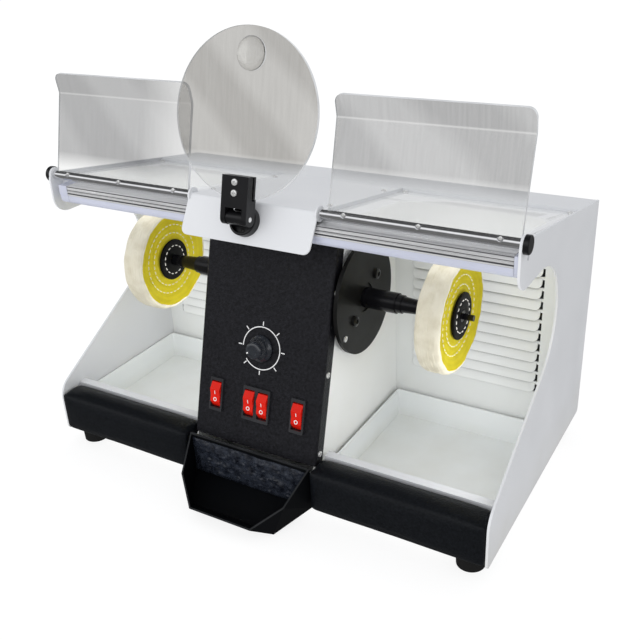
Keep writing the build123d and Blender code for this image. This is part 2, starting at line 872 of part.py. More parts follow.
diffuser_front = lamp_back - lamp_depth + diffuser_inset
diffuser_back = lamp_back - diffuser_inset
diffuser_shoulder = lamp_middle - diffuser_shoulder_drop
with BuildSketch() as diffuser_section:
    with BuildLine():
        Polyline(
            (diffuser_front, diffuser_shoulder),
            (diffuser_front, lamp_middle),
            (diffuser_back, lamp_middle),
            (diffuser_back, diffuser_shoulder),
        )
        ThreePointArc(
            (diffuser_back, diffuser_shoulder),
            ((diffuser_front + diffuser_back) / 2, lamp_middle - lamp_diffuser_height),
            (diffuser_front, diffuser_shoulder),
        )
    make_face()
with BuildPart() as lamp_diffusers:
    for side, sign in SIDES:
        with BuildSketch(Plane.YZ.offset(sign * lamp_inner)):
            add(diffuser_section.sketch)
        extrude(amount=sign * (lamp_cap_starts[side] - lamp_inner))
        with BuildSketch(Plane.YZ.offset(sign * (lamp_cap_starts[side] + seam))):
            add(diffuser_section.sketch)
            with Locations((lamp_back - lamp_depth / 2, lamp_top - lamp_body_height / 2)):
                Rectangle(lamp_depth, lamp_body_height)
        extrude(amount=sign * (lamp_caps[side] - seam))
keep(lamp_diffusers, "lamp_diffusers")

# Shields, each on its own rod with an end knob
shield_inner = bridge_half + shield_gap
shield_outer = x_inner - shield_gap
shield_length = shield_outer - shield_inner
half_shield = shield_thickness / 2
lip_turn = radians(shield_lean + lip_lean)
screw_pitch = (shield_length - 2 * shield_screw_inset) / (shield_screw_count - 1)
shield_shift = {"left": 0.0, "right": shield_shift_right}
for side, sign in SIDES:
    shield_middle = sign * (shield_inner + shield_outer) / 2 + shield_shift[side]
    across = section(shield_plane, sign * shield_inner + shield_shift[side])
    first_screw = shield_middle - screw_pitch * (shield_screw_count - 1) / 2
    screw_places = [(first_screw + screw_pitch * k, shield_screw_up) for k in range(shield_screw_count)]
    with BuildPart() as shield:
        with BuildSketch(across):
            with BuildLine():
                FilletPolyline(
                    (shield_seat, half_shield),
                    (shield_height, half_shield),
                    (shield_height + shield_lip * cos(lip_turn), half_shield + shield_lip * sin(lip_turn)),
                    radius=shield_bend,
                )
                offset(amount=shield_thickness, side=Side.RIGHT)
            make_face()
        extrude(amount=sign * shield_length)
        lip_end = faces().sort_by(Axis.Z)[-1]
        fillet(lip_end.edges().sort_by(SortBy.LENGTH)[:2], shield_round)
        with BuildSketch(shield_plane):
            with Locations(*screw_places):
                Circle(shield_screw_radius + hole_fit)
        extrude(amount=rod_radius, both=True, mode=Mode.SUBTRACT)
    keep(shield, f"shield_{side}")

    with BuildPart() as shield_rod:
        with BuildSketch(Plane.YZ.offset(sign * (bridge_half + seam))):
            with Locations((y_rod, rod_height)):
                Circle(rod_radius)
        extrude(amount=sign * (x_side + knob_cap_bore - bridge_half - seam))
        with BuildSketch(Plane.YZ.offset(sign * (bridge_half + seam))):
            with Locations((y_rod, rod_height)):
                Circle(journal_radius)
        extrude(amount=-sign * (sheet + seam))
        with BuildSketch(shield_plane):
            with Locations((shield_middle, shield_seat + rod_radius)):
                Rectangle(shield_length + 2 * seam, 2 * rod_radius)
        extrude(amount=half_shield + running, both=True, mode=Mode.SUBTRACT)
        with BuildSketch(shield_plane.offset(shield_screw_seat)):
            with Locations(*screw_places):
                Circle(shield_screw_head + hole_fit)
        extrude(amount=rod_radius, mode=Mode.SUBTRACT)
        with BuildSketch(shield_plane):
            with Locations(*screw_places):
                Circle(shield_screw_radius + hole_fit)
        extrude(amount=rod_radius, mode=Mode.SUBTRACT)
    keep(shield_rod, f"shield_rod_{side}")

    with BuildPart() as shield_screws:
        with BuildSketch(shield_plane.offset(shield_screw_seat)):
            with Locations(*screw_places):
                Circle(shield_screw_head)
        extrude(amount=head_height)
        with BuildSketch(shield_plane.offset(shield_screw_seat)):
            with Locations(*screw_places):
                Circle(shield_screw_radius)
        extrude(amount=-(shield_screw_seat + half_shield))
    keep(shield_screws, f"shield_screws_{side}")

    with BuildPart() as rod_knob:
        with BuildSketch(Plane.YZ.offset(sign * (x_side + seam))):
            with Locations((y_rod, rod_height)):
                Circle(knob_cap_radius)
        extrude(amount=sign * knob_cap_length)
        outer_face = faces().sort_by(Axis.X)[-1 if sign > 0 else 0]
        fillet(outer_face.edges(), knob_cap_round)
        with BuildSketch(Plane.YZ.offset(sign * (x_side + seam))):
            with Locations((y_rod, rod_height)):
                Circle(rod_radius + running)
        extrude(amount=sign * knob_cap_bore, mode=Mode.SUBTRACT)
    keep(rod_knob, f"rod_knob_{side}")

# Bearing flanges: a plain plate on the left wall, a wide plate on a boss on the right one,
# each with a hub through the wall that holds the bearing
flange_faces = {"left": x_wall + flange_plate, "right": x_wall + flange_boss + flange_plate}
flange_rims = {
    "left": ((x_wall, plain_flange_radius), (flange_faces["left"], plain_flange_radius)),
    "right": (
        (x_wall, flange_boss_radius),
        (x_wall + flange_boss, flange_boss_radius),
        (x_wall + flange_boss, flange_radius),
        (flange_faces["right"], flange_radius),
    ),
}
hub_start = x_wall - sheet - end_face
bearing_seat = hub_start + bearing_width
shaft_hole = shaft_radius + 2 * seam
with BuildPart() as bearing_flanges:
    for side, sign in SIDES:
        flange_face = flange_faces[side]
        with BuildSketch(spin_plane(sign)):
            with BuildLine():
                Polyline(
                    (hub_start, bearing_radius),
                    (hub_start, hub_radius),
                    (x_wall, hub_radius),
                    *flange_rims[side],
                    (flange_face, flange_recess_radius),
                    (flange_face - flange_recess, flange_recess_radius),
                    (flange_face - flange_recess, shaft_hole),
                    (bearing_seat, shaft_hole),
                    (bearing_seat, bearing_radius),
                    close=True,
                )
            make_face()
        revolve(axis=spin_axis)
        with BuildSketch(Plane.YZ.offset(sign * flange_face)):
            with Locations((y_spindle, spindle_height)):
                with PolarLocations(flange_bolt_circle, flange_bolt_count, flange_bolt_angle):
                    Circle(flange_bolt_radius + hole_fit)
        extrude(amount=-sign * (flange_face - x_wall), mode=Mode.SUBTRACT)
keep(bearing_flanges, "bearing_flanges")

# Bolts through each flange and the wall into the motor's end bell, and one small screw on the wide plate
with BuildPart() as flange_bolts:
    for side, sign in SIDES:
        flange_face = flange_faces[side]
        with BuildSketch(Plane.YZ.offset(sign * flange_face)):
            with Locations((y_spindle, spindle_height)):
                with PolarLocations(flange_bolt_circle, flange_bolt_count, flange_bolt_angle):
                    Circle(flange_bolt_head)
        extrude(amount=sign * flange_bolt_head_height)
        with BuildSketch(Plane.YZ.offset(sign * flange_face)):
            with Locations((y_spindle, spindle_height)):
                with PolarLocations(flange_bolt_circle, flange_bolt_count, flange_bolt_angle):
                    Circle(flange_bolt_radius)
        extrude(amount=-sign * (flange_face - hub_start))
    with BuildSketch(Plane.YZ.offset(flange_faces["right"])):
        with Locations((y_spindle, spindle_height)):
            with PolarLocations(flange_screw_offset, 1, flange_screw_angle):
                Circle(panel_screw_head)
    extrude(amount=head_height)
keep(flange_bolts, "flange_bolts")

# Shaft bearings
with BuildPart() as shaft_bearings:
    for _, sign in SIDES:
        with BuildSketch(Plane.YZ.offset(sign * hub_start)):
            with Locations((y_spindle, spindle_height)):
                Circle(bearing_radius - running)
                Circle(shaft_radius + running, mode=Mode.SUBTRACT)
        extrude(amount=sign * bearing_width)
keep(shaft_bearings, "shaft_bearings")

# Motor: housing tube, cup-shaped end bells, stator, and the rotor on its shaft
with BuildPart() as motor_housing:
    with BuildSketch(Plane.YZ):
        with Locations((y_spindle, spindle_height)):
            Circle(motor_radius)
            Circle(motor_radius - motor_wall, mode=Mode.SUBTRACT)
    extrude(amount=motor_half, both=True)
keep(motor_housing, "motor_housing")

with BuildPart() as motor_end_bells:
    for _, sign in SIDES:
        with BuildSketch(spin_plane(sign)):
            with BuildLine():
                Polyline(
                    (motor_half, motor_radius - motor_wall),
                    (motor_half, motor_radius),
                    (x_wall - sheet, motor_radius),
                    (x_wall - sheet, hub_radius + hole_fit),
                    (hub_start, hub_radius + hole_fit),
                    (hub_start, motor_radius - motor_wall),
                    close=True,
                )
            make_face()
        revolve(axis=spin_axis)
        with BuildSketch(Plane.YZ.offset(sign * (x_wall - sheet))):
            with Locations((y_spindle, spindle_height)):
                with PolarLocations(flange_bolt_circle, flange_bolt_count, flange_bolt_angle):
                    Circle(flange_bolt_radius + hole_fit)
        extrude(amount=-sign * end_face, mode=Mode.SUBTRACT)
keep(motor_end_bells, "motor_end_bells")

with BuildPart() as motor_stator:
    with BuildSketch(Plane.YZ):
        with Locations((y_spindle, spindle_height)):
            Circle(motor_radius - motor_wall - running)
            Circle(core_radius + air_gap, mode=Mode.SUBTRACT)
    extrude(amount=core_half, both=True)
keep(motor_stator, "motor_stator")

collar_end = flange_faces["right"] + seam + collar_length
with BuildPart() as motor_rotor:
    with BuildSketch(Plane.YZ):
        with Locations((y_spindle, spindle_height)):
            Circle(shaft_radius)
    extrude(amount=collar_end - ring_length, both=True)
    with BuildSketch(Plane.YZ):
        with Locations((y_spindle, spindle_height)):
            Circle(core_radius)
    extrude(amount=core_half, both=True)
keep(motor_rotor, "motor_rotor")

# Spindles: collar over the shaft's end, ring, taper, and the arbor that carries the wheel
washer_start = wheel_position - wheel_width / 2 - washer_thickness
arbor_end = wheel_position + wheel_width / 2 + washer_thickness
for side, sign in SIDES:
    collar_start = flange_faces[side] + seam
    with BuildPart() as spindle:
        with BuildSketch(spin_plane(sign)):
            with BuildLine():
                Polyline(
                    (collar_start, shaft_radius + running),
                    (collar_start, collar_radius),
                    (collar_end, collar_radius),
                    (collar_end, ring_radius),
                    (collar_end + ring_length, ring_radius),
                    (collar_end + ring_length, taper_root),
                    (washer_start, arbor_radius),
                    (arbor_end, arbor_radius),
                    (arbor_end, tip_radius),
                    (arbor_end + tip_length, tip_radius),
                    (arbor_end + tip_length, 0),
                    (collar_end - ring_length + seam, 0),
                    (collar_end - ring_length + seam, shaft_radius + running),
                    close=True,
                )
            make_face()
        revolve(axis=spin_axis)
    keep(spindle, f"spindle_{side}")

# Stitched buff wheels with a leather washer on both faces
for side, sign in SIDES:
    with BuildPart() as buff_wheel:
        with BuildSketch(Plane.YZ.offset(sign * wheel_position)):
            with Locations((y_spindle, spindle_height)):
                Circle(wheel_radius)
        extrude(amount=wheel_width / 2, both=True)
        fillet(edges(), wheel_round)
        with BuildSketch(Plane.YZ.offset(sign * wheel_position)):
            with Locations((y_spindle, spindle_height)):
                Circle(arbor_radius + running)
        extrude(amount=wheel_width / 2, both=True, mode=Mode.SUBTRACT)
    keep(buff_wheel, f"buff_wheel_{side}")

with BuildPart() as wheel_washers:
    for _, sign in SIDES:
        for x_washer in (washer_start, wheel_position + wheel_width / 2):
            with BuildSketch(Plane.YZ.offset(sign * x_washer)):
                with Locations((y_spindle, spindle_height)):
                    Circle(washer_radius)
                    Circle(arbor_radius + running, mode=Mode.SUBTRACT)
            extrude(amount=sign * washer_thickness)
keep(wheel_washers, "wheel_washers")

# Switch bezels set in the front panel
cavity_height = rocker_length + 2 * rocker_end_fit
cavity_width = rocker_width + 2 * rocker_fit
cavity_depth = rocker_depth + rocker_keel + 2 * rocker_end_fit
half_bezel = double_bezel_width / 2
rocker_places = {
    "vacuum_left": -switch_spacing,
    "light": -half_bezel / 2,
    "power": half_bezel / 2,
    "vacuum_right": switch_spacing,
}
with BuildPart() as switch_bezels:
    with BuildSketch(panel_plane):
        for x_switch, width in zip(switch_places, bezel_widths):
            with Locations((x_switch, switch_station)):
                RectangleRounded(width, bezel_height, bezel_lap)
    extrude(amount=bezel_rim)
    with BuildSketch(panel_plane):
        for x_switch, width in zip(switch_places, bezel_widths):
            with Locations((x_switch, switch_station)):
                Rectangle(width - 2 * bezel_lap, bezel_height - 2 * bezel_lap)
    extrude(amount=-bezel_body)
    with BuildSketch(panel_plane.offset(bezel_rim)):
        with Locations(*[(x, switch_station) for x in rocker_places.values()]):
            Rectangle(cavity_width, cavity_height)
    extrude(amount=-(bezel_rim + cavity_depth), mode=Mode.SUBTRACT)
keep(switch_bezels, "switch_bezels")

# Rockers at rest in the off position, upper half proud
rocker_half = rocker_length / 2
rocker_pivot = on_panel(switch_station, -rocker_depth)
for name, x_rocker in rocker_places.items():
    rocker_plane = section(leaning(*rocker_pivot, panel_lean - rocker_tilt), x_rocker)
    with BuildPart() as rocker:
        with BuildSketch(rocker_plane):
            with BuildLine():
                Polyline(
                    (-rocker_half, 0),
                    (-rocker_half, rocker_end),
                    (-rocker_half / 2, rocker_crest),
                    (0, rocker_valley),
                    (rocker_half / 2, rocker_crest),
                    (rocker_half, rocker_end),
                    (rocker_half, 0),
                    (rocker_keel_half, -rocker_keel),
                    (-rocker_keel_half, -rocker_keel),
                    close=True,
                )
            make_face()
        extrude(amount=rocker_width / 2, both=True)
    keep(rocker, f"rocker_{name}")

# Speed control behind the panel, and its knob
knob_plane = leaning(*on_panel(knob_station, 0), panel_lean)
with BuildPart() as speed_control:
    with BuildSketch(knob_plane.offset(-panel_sheet)):
        Circle(control_radius)
    extrude(amount=-control_depth)
    with BuildSketch(knob_plane.offset(-panel_sheet)):
        Circle(bushing_radius)
    extrude(amount=panel_sheet)
    with BuildSketch(knob_plane):
        Circle(stem_radius + running)
    extrude(amount=-(stem_depth + seam), mode=Mode.SUBTRACT)
keep(speed_control, "speed_control")

with BuildPart() as speed_knob:
    with BuildSketch(knob_plane.offset(seam)):
        Circle(knob_skirt_radius)
    extrude(amount=knob_skirt)
    with BuildSketch(knob_plane.offset(seam + knob_skirt)):
        Circle(knob_radius)
    extrude(amount=knob_height - knob_skirt, taper=knob_draft)
    crown_face = faces().sort_by(Axis(knob_plane.origin, knob_plane.z_dir))[-1]
    fillet(crown_face.edges(), knob_round)
    with BuildSketch(knob_plane.offset(seam)):
        Circle(stem_radius)
    extrude(amount=-stem_depth)
keep(speed_knob, "speed_knob")

# Power inlet: bezel on the rear panel, recessed socket with three flat pins
inlet_plane = Plane((0, y_rear, inlet_height), x_dir=(-1, 0, 0), z_dir=(0, 1, 0))
recess_width = inlet_width - 2 * inlet_wall
recess_tall = inlet_tall - 2 * inlet_wall
with BuildPart() as power_inlet:
    with BuildSketch(inlet_plane):
        RectangleRounded(inlet_width + 2 * inlet_lap, inlet_tall + 2 * inlet_lap, inlet_lap)
    extrude(amount=inlet_bezel)
    with BuildSketch(inlet_plane):
        Rectangle(inlet_width, inlet_tall)
    extrude(amount=-inlet_body)
    with BuildSketch(inlet_plane.offset(inlet_bezel)):
        Rectangle(recess_width, recess_tall)
    extrude(amount=-inlet_recess, mode=Mode.SUBTRACT)
    with BuildSketch(inlet_plane.offset(inlet_bezel - inlet_recess)):
        with GridLocations(2 * inlet_pin_spacing, 0, 2, 1):
            Rectangle(inlet_pin_width, inlet_pin_tall)
        with Locations((0, inlet_pin_rise)):
            Rectangle(inlet_pin_width, inlet_pin_tall)
    extrude(amount=inlet_pin_length)
keep(power_inlet, "power_inlet")

# Magnifier base on the tab: a dish with the lug that holds the hinge pin
tab_normal = (0, tab_out[0], tab_out[1])
mag_y = tab_end[0] + mag_base_rise * tab_up[0]
mag_z = tab_end[1] + mag_base_rise * tab_up[1]
mag_plane = Plane(origin=(0, mag_y, mag_z), x_dir=(1, 0, 0), z_dir=tab_normal)
pivot_point = mag_plane.offset(mag_pivot_height).origin
hinge_plane = Plane(origin=pivot_point, x_dir=mag_plane.y_dir, z_dir=(1, 0, 0))
lug_drop = mag_pivot_height - mag_base_height + mag_dish_depth + seam
with BuildPart() as magnifier_base:
    with BuildSketch(mag_plane):
        Circle(mag_base_radius)
    extrude(amount=mag_base_height)
    base_rim = edges().filter_by(GeomType.CIRCLE).sort_by(Axis(mag_plane.origin, mag_plane.z_dir))[-1]
    fillet(base_rim, mag_base_round)
    with BuildSketch(mag_plane.offset(mag_base_height)):
        Circle(mag_base_radius - mag_dish_wall)
    extrude(amount=-mag_dish_depth, mode=Mode.SUBTRACT)
    with BuildSketch(hinge_plane):
        Circle(mag_lug_radius)
        with Locations((0, -lug_drop / 2)):
            Rectangle(2 * mag_lug_radius, lug_drop)
    extrude(amount=mag_lug_width / 2, both=True)
    with BuildSketch(hinge_plane):
        Circle(mag_pin_radius + hole_fit)
    extrude(amount=mag_lug_width, both=True, mode=Mode.SUBTRACT)
keep(magnifier_base, "magnifier_base")

with BuildPart() as magnifier_pin:
    with BuildSketch(hinge_plane):
        Circle(mag_pin_radius)
    extrude(amount=clamp_width / 2, both=True)
keep(magnifier_pin, "magnifier_pin")

# Clamp: forked block that leans with the lens and grips its lower edge
clamp_plane = leaning(pivot_point.Y, pivot_point.Z, mag_lean)
clamp_side = section(clamp_plane)
lens_bottom = lens_height - lens_radius
slot_depth = clamp_height - lens_bottom + seam
with BuildPart() as magnifier_clamp:
    with BuildSketch(clamp_side):
        Circle(clamp_depth / 2)
        with Locations((clamp_height / 2, 0)):
            Rectangle(clamp_height, clamp_depth)
        with Locations((clamp_height - slot_depth / 2, -lens_setback)):
            Rectangle(slot_depth, lens_thickness + 2 * lens_slot_fit, mode=Mode.SUBTRACT)
    extrude(amount=clamp_width / 2, both=True)
    with BuildSketch(clamp_plane):
        with Locations((0, (clamp_fork - clamp_depth / 2) / 2)):
            Rectangle(mag_lug_width + 2 * seam, clamp_fork + clamp_depth / 2)
    extrude(amount=clamp_depth, both=True, mode=Mode.SUBTRACT)
    with BuildSketch(hinge_plane):
        Circle(mag_pin_radius + running)
    extrude(amount=clamp_width, both=True, mode=Mode.SUBTRACT)
    with BuildSketch(clamp_plane.offset(clamp_depth / 2)):
        with Locations((0, clamp_screw_low), (0, clamp_screw_low + clamp_screw_spacing)):
            Circle(clamp_screw_radius + hole_fit)
    extrude(amount=-clamp_depth, mode=Mode.SUBTRACT)
keep(magnifier_clamp, "magnifier_clamp")

with BuildPart() as clamp_screws:
    with BuildSketch(clamp_plane.offset(clamp_depth / 2)):
        with Locations((0, clamp_screw_low), (0, clamp_screw_low + clamp_screw_spacing)):
            Circle(clamp_screw_head)
    extrude(amount=head_height)
    with BuildSketch(clamp_plane.offset(clamp_depth / 2)):
        with Locations((0, clamp_screw_low), (0, clamp_screw_low + clamp_screw_spacing)):
            Circle(clamp_screw_radius)
    extrude(amount=-clamp_depth)
keep(clamp_screws, "clamp_screws")

# Lens with its bullseye
lens_face = clamp_plane.offset(lens_thickness / 2 - lens_setback)
with BuildPart() as magnifier_lens:
    with BuildSketch(lens_face):
        with Locations((0, lens_height)):
            Circle(lens_radius)
    extrude(amount=-lens_thickness)
    with BuildSketch(lens_face):
        with Locations((bullseye_offset, lens_height + bullseye_height)):
            Circle(bullseye_radius)
    extrude(amount=bullseye_proud)
    with BuildSketch(lens_face):
        with Locations((0, clamp_screw_low), (0, clamp_screw_low + clamp_screw_spacing)):
            Circle(clamp_screw_radius + hole_fit)
    extrude(amount=-lens_thickness, mode=Mode.SUBTRACT)
keep(magnifier_lens, "magnifier_lens")
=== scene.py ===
import json
from math import cos, pi, radians, sin

import bmesh
import bpy
from mathutils import Matrix, Vector, noise


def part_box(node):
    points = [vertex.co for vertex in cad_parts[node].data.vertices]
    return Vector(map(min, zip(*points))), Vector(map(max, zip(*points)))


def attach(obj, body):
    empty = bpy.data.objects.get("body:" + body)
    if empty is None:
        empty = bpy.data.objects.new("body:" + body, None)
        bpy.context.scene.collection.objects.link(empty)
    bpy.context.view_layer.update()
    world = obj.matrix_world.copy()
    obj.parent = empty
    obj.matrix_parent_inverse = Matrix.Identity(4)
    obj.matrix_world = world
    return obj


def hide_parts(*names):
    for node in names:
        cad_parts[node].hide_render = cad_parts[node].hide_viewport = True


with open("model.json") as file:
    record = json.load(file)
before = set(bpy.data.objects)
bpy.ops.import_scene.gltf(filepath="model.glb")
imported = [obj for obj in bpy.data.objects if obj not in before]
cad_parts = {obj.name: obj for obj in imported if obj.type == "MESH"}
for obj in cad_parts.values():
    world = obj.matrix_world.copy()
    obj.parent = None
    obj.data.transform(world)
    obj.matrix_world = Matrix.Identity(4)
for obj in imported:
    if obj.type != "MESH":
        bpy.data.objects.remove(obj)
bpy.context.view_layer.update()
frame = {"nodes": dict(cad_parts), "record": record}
nodes = frame["nodes"]
scene = bpy.context.scene

MM = 0.001
X, Y, Z = Vector((1, 0, 0)), Vector((0, 1, 0)), Vector((0, 0, 1))
SIDES = (("left", -1), ("right", 1))
CORNERS = ((-1, -1), (1, -1), (1, 1), (-1, 1))
WELD = 1e-6

# Camera: place, direction and roll
CAMERA_PLACE = Vector((0.38574, -0.59960, 0.48591))
CAMERA_AZIMUTH = radians(31.51)
CAMERA_ELEVATION = radians(26.17)
CAMERA_ROLL = radians(-2.86)
CAMERA_LENS = 47.73
CAMERA_SENSOR = 36.0
CAMERA_NEAR, CAMERA_FAR = 0.01, 50

# Angles and places of the machine that the added pieces follow
PANEL_LEAN = radians(16.1)
TOP_SLOPE = radians(9.609)
SHIELD_LEAN = radians(15.0)
MAGNIFIER_LEAN = radians(14.5)
SPINDLE = Vector((0, -10.9, 178.6)) * MM
ROD = Vector((0, -64.0, 270.0)) * MM
SHIELD_BEND = 74.0 * MM
LUG_FACE = 61.0 * MM
LENS_PIVOT = Vector((0, -87.63, 265.57)) * MM
DISH = Vector((0, -75.6, 258.4)) * MM
DISH_LEAN = radians(30.9)
KNOB_PLACE = Vector((0, -70.19, 140.40)) * MM
ROCKER_PIVOT = Vector((0, -81.56, 90.18)) * MM
ROCKER_LEAN = PANEL_LEAN - radians(9.0)
WHEEL_X, WHEEL_HALF, WHEEL_RADIUS = 150 * MM, 9 * MM, 50 * MM
BORE = 5.06 * MM


def facing(lean):
    """The outward direction of a face that looks to the front and leans back."""
    return Vector((0, -cos(lean), sin(lean)))


def rising(lean):
    """The direction that runs up such a face."""
    return Vector((0, sin(lean), cos(lean)))


def axes(origin, out, across):
    """A matrix whose local X runs across, whose local Z runs out, placed at the origin."""
    z = out.normalized()
    y = z.cross(across).normalized()
    x = y.cross(z)
    return Matrix.Translation(origin) @ Matrix((x, y, z)).transposed().to_4x4()


# Node materials: sockets of a Mix node for colours, and how open a corner is where the painted shade is full
# and where it ends
MIX_ONE, MIX_TWO, MIX_RESULT = 6, 7, 2
CORNER_SHUT, CORNER_OPEN = 0.42, 0.82


class Look:
    """A material whose colour, roughness and relief come from nodes."""

    def __init__(self, name, sockets):
        self.material = bpy.data.materials.new(name)
        self.material.use_nodes = True
        self.tree = self.material.node_tree
        self.shader = self.tree.nodes["Principled BSDF"]
        self.coordinates = self.add("ShaderNodeTexCoord").outputs["Object"]
        self.set(**sockets)

    def add(self, kind, inputs=None, **settings):
        node = self.tree.nodes.new(kind)
        for key, value in settings.items():
            setattr(node, key, value)
        for key, value in (inputs or {}).items():
            self.feed(node.inputs[key], value)
        return node

    def feed(self, socket, value):
        if isinstance(value, bpy.types.NodeSocket):
            self.tree.links.new(value, socket)
        else:
            socket.default_value = value

    def set(self, **sockets):
        for key, value in sockets.items():
            self.feed(self.shader.inputs[key.replace("_", " ")], value)

    def spot(self, stretch=(1, 1, 1), origin=(0, 0, 0)):
        """Object coordinates, moved and stretched."""
        moved = self.add("ShaderNodeVectorMath", {0: self.coordinates, 1: origin}, operation="SUBTRACT")
        inputs = {0: moved.outputs[0], 1: stretch}
        return self.add("ShaderNodeVectorMath", inputs, operation="MULTIPLY").outputs[0]

    def noise(self, scale, detail=3.0, stretch=(1, 1, 1)):
        inputs = {"Vector": self.spot(stretch), "Scale": scale, "Detail": detail}
        return self.add("ShaderNodeTexNoise", inputs).outputs["Fac"]

    def cells(self, scale, stretch):
        inputs = {"Vector": self.spot(stretch), "Scale": scale}
        return self.add("ShaderNodeTexVoronoi", inputs, feature="SMOOTH_F1").outputs["Distance"]

    def wave(self, scale, direction, distortion=0.0, stretch=(1, 1, 1), detail=2.0):
        inputs = {"Vector": self.spot(stretch), "Scale": scale, "Distortion": distortion, "Detail": detail}
        return self.add("ShaderNodeTexWave", inputs, bands_direction=direction).outputs["Fac"]

    def radius(self, origin):
        """Distance from an axis along X."""
        across = self.spot((0, 1, 1), origin)
        return self.add("ShaderNodeVectorMath", {0: across}, operation="LENGTH").outputs["Value"]

    def along(self, origin, way):
        """Distance from an origin along a direction."""
        inputs = {0: self.spot((1, 1, 1), tuple(origin)), 1: tuple(way)}
        return self.add("ShaderNodeVectorMath", inputs, operation="DOT_PRODUCT").outputs["Value"]

    def axis(self, letter):
        return self.add("ShaderNodeSeparateXYZ", {0: self.coordinates}).outputs[letter]

    def spread(self, value, low, high, start=0.3, end=0.7):
        """A value between start and end, turned into one between low and high."""
        inputs = {"Value": value, "From Min": start, "From Max": end, "To Min": low, "To Max": high}
        return self.add("ShaderNodeMapRange", inputs).outputs["Result"]

    def sum(self, one, two, share):
        """One value plus a share of another."""
        scaled = self.add("ShaderNodeMath", {0: two, 1: share}, operation="MULTIPLY").outputs[0]
        return self.add("ShaderNodeMath", {0: one, 1: scaled}, operation="ADD").outputs[0]

    def mix(self, fac, one, two):
        node = self.add("ShaderNodeMix", {"Factor": fac}, data_type="RGBA")
        self.feed(node.inputs[MIX_ONE], one)
        self.feed(node.inputs[MIX_TWO], two)
        return node.outputs[MIX_RESULT]

    def paint_corner_shade(self, shade, reach):
        """Painted shade in the corners of the form, where less than the usual half of the room is open."""
        colour_so_far = self.shader.inputs["Base Color"].links[0].from_socket
        corner = self.add("ShaderNodeAmbientOcclusion", {"Distance": reach}, only_local=True).outputs["AO"]
        share = self.spread(corner, 1.0, 0.0, CORNER_SHUT, CORNER_OPEN)
        self.set(Base_Color=self.mix(share, colour_so_far, rgb(*shade)))

    def bump(self, height, depth):
        inputs = {"Height": height, "Distance": depth, "Strength": 1.0}
        return self.add("ShaderNodeBump", inputs).outputs["Normal"]


def rgb(*values):
    return (*values, 1.0)


CLEAREST = rgb(0.95, 0.95, 0.94)
ACRYLIC_IOR = 1.49
# Painted highlight line along the shields' fold: the width of its core and of its fade
BEND_HIGHLIGHT_CORE, BEND_HIGHLIGHT_FADE = 0.3 * MM, 1.1 * MM
GLOSS_RATE = 4


def coat(name, low, high, rough, grain, depth, patch=9.0, swing=0.05, cells=False, stretch=(1, 1, 1),
         **sockets):
    """Paint, plastic, rubber, metal or hide: patchy colour, uneven gloss and a fine relief."""
    look = Look(name, sockets)
    clouds = look.noise(patch, detail=4.0, stretch=stretch)
    gloss = look.noise(patch * GLOSS_RATE, stretch=stretch)
    if cells:
        fine = look.cells(grain, stretch)
    else:
        fine = look.noise(grain, detail=2.0, stretch=stretch)
    look.set(
        Base_Color=look.mix(look.spread(clouds, 0.0, 1.0), rgb(*low), rgb(*high)),
        Roughness=look.spread(gloss, rough - swing, rough + swing),
        Normal=look.bump(fine, depth),
    )
    return look


def worn_white(name, low, high, dust, dust_low, dust_high):
    """White powder coat that gathers polishing dust towards the bottom of the chambers."""
    look = coat(name, low, high, rough=0.36, grain=900, depth=0.00003, patch=7, Specular_IOR_Level=0.4)
    colour_so_far = look.shader.inputs["Base Color"].links[0].from_socket
    fall = look.spread(look.axis("Z"), 1.0, 0.0, dust_low, dust_high)
    inputs = {0: fall, 1: look.spread(look.noise(24, detail=5.0), 0.2, 1.0)}
    cloudy = look.add("ShaderNodeMath", inputs, operation="MULTIPLY").outputs[0]
    look.set(Base_Color=look.mix(cloudy, colour_so_far, rgb(*dust)))
    return look


def clear(name, low, high, scale, foot=None, fade=None, bend_highlight=None, through=1.0, pale=None):
    """Acrylic with painted reflections: slanting bands, and fine upright streaks that are partly scratches.

    foot is a place and the way up from it, and fade the heights above it where the tint begins and is full;
    that fade is painted light, clear near the foot where the bright cabinet shows through. bend_highlight is
    the height of a painted highlight line, through the share of light let through, and pale the X range where
    the tint thins out.
    """
    look = Look(name, {"Transmission Weight": through, "IOR": ACRYLIC_IOR})
    # Painted reflections: slanting bands and upright streaks in the colour, the streaks partly scratches
    bands = look.wave(scale, "DIAGONAL", distortion=1.6, stretch=(1, 0.4, 1), detail=1.0)
    streaks = look.noise(60, stretch=(22, 1, 0.4))
    tone = look.sum(look.spread(bands, 0.0, 0.6, 0.25, 0.75), look.spread(streaks, 0.0, 1.0), 0.4)
    tint = look.mix(tone, rgb(*low), rgb(*high))
    # Painted light: the tint thins out across the X range pale
    if pale:
        tint = look.mix(look.spread(look.axis("X"), 0.0, 0.6, *pale), tint, CLEAREST)
    # Painted light: the tint fades out near the foot, where the bright cabinet shows through
    if foot:
        rise = look.along(*foot)
        tint = look.mix(look.spread(rise, 0.0, 1.0, *fade), CLEAREST, tint)
    # Painted highlight: a paler line at the shield's fold
    if bend_highlight:
        off = look.add("ShaderNodeMath", {0: rise, 1: bend_highlight}, operation="SUBTRACT").outputs[0]
        near = look.add("ShaderNodeMath", {0: off}, operation="ABSOLUTE").outputs[0]
        tint = look.mix(look.spread(near, 0.35, 0.0, BEND_HIGHLIGHT_CORE, BEND_HIGHLIGHT_FADE), tint, CLEAREST)
    look.set(Base_Color=tint, Roughness=look.spread(streaks, 0.015, 0.05))
    return look


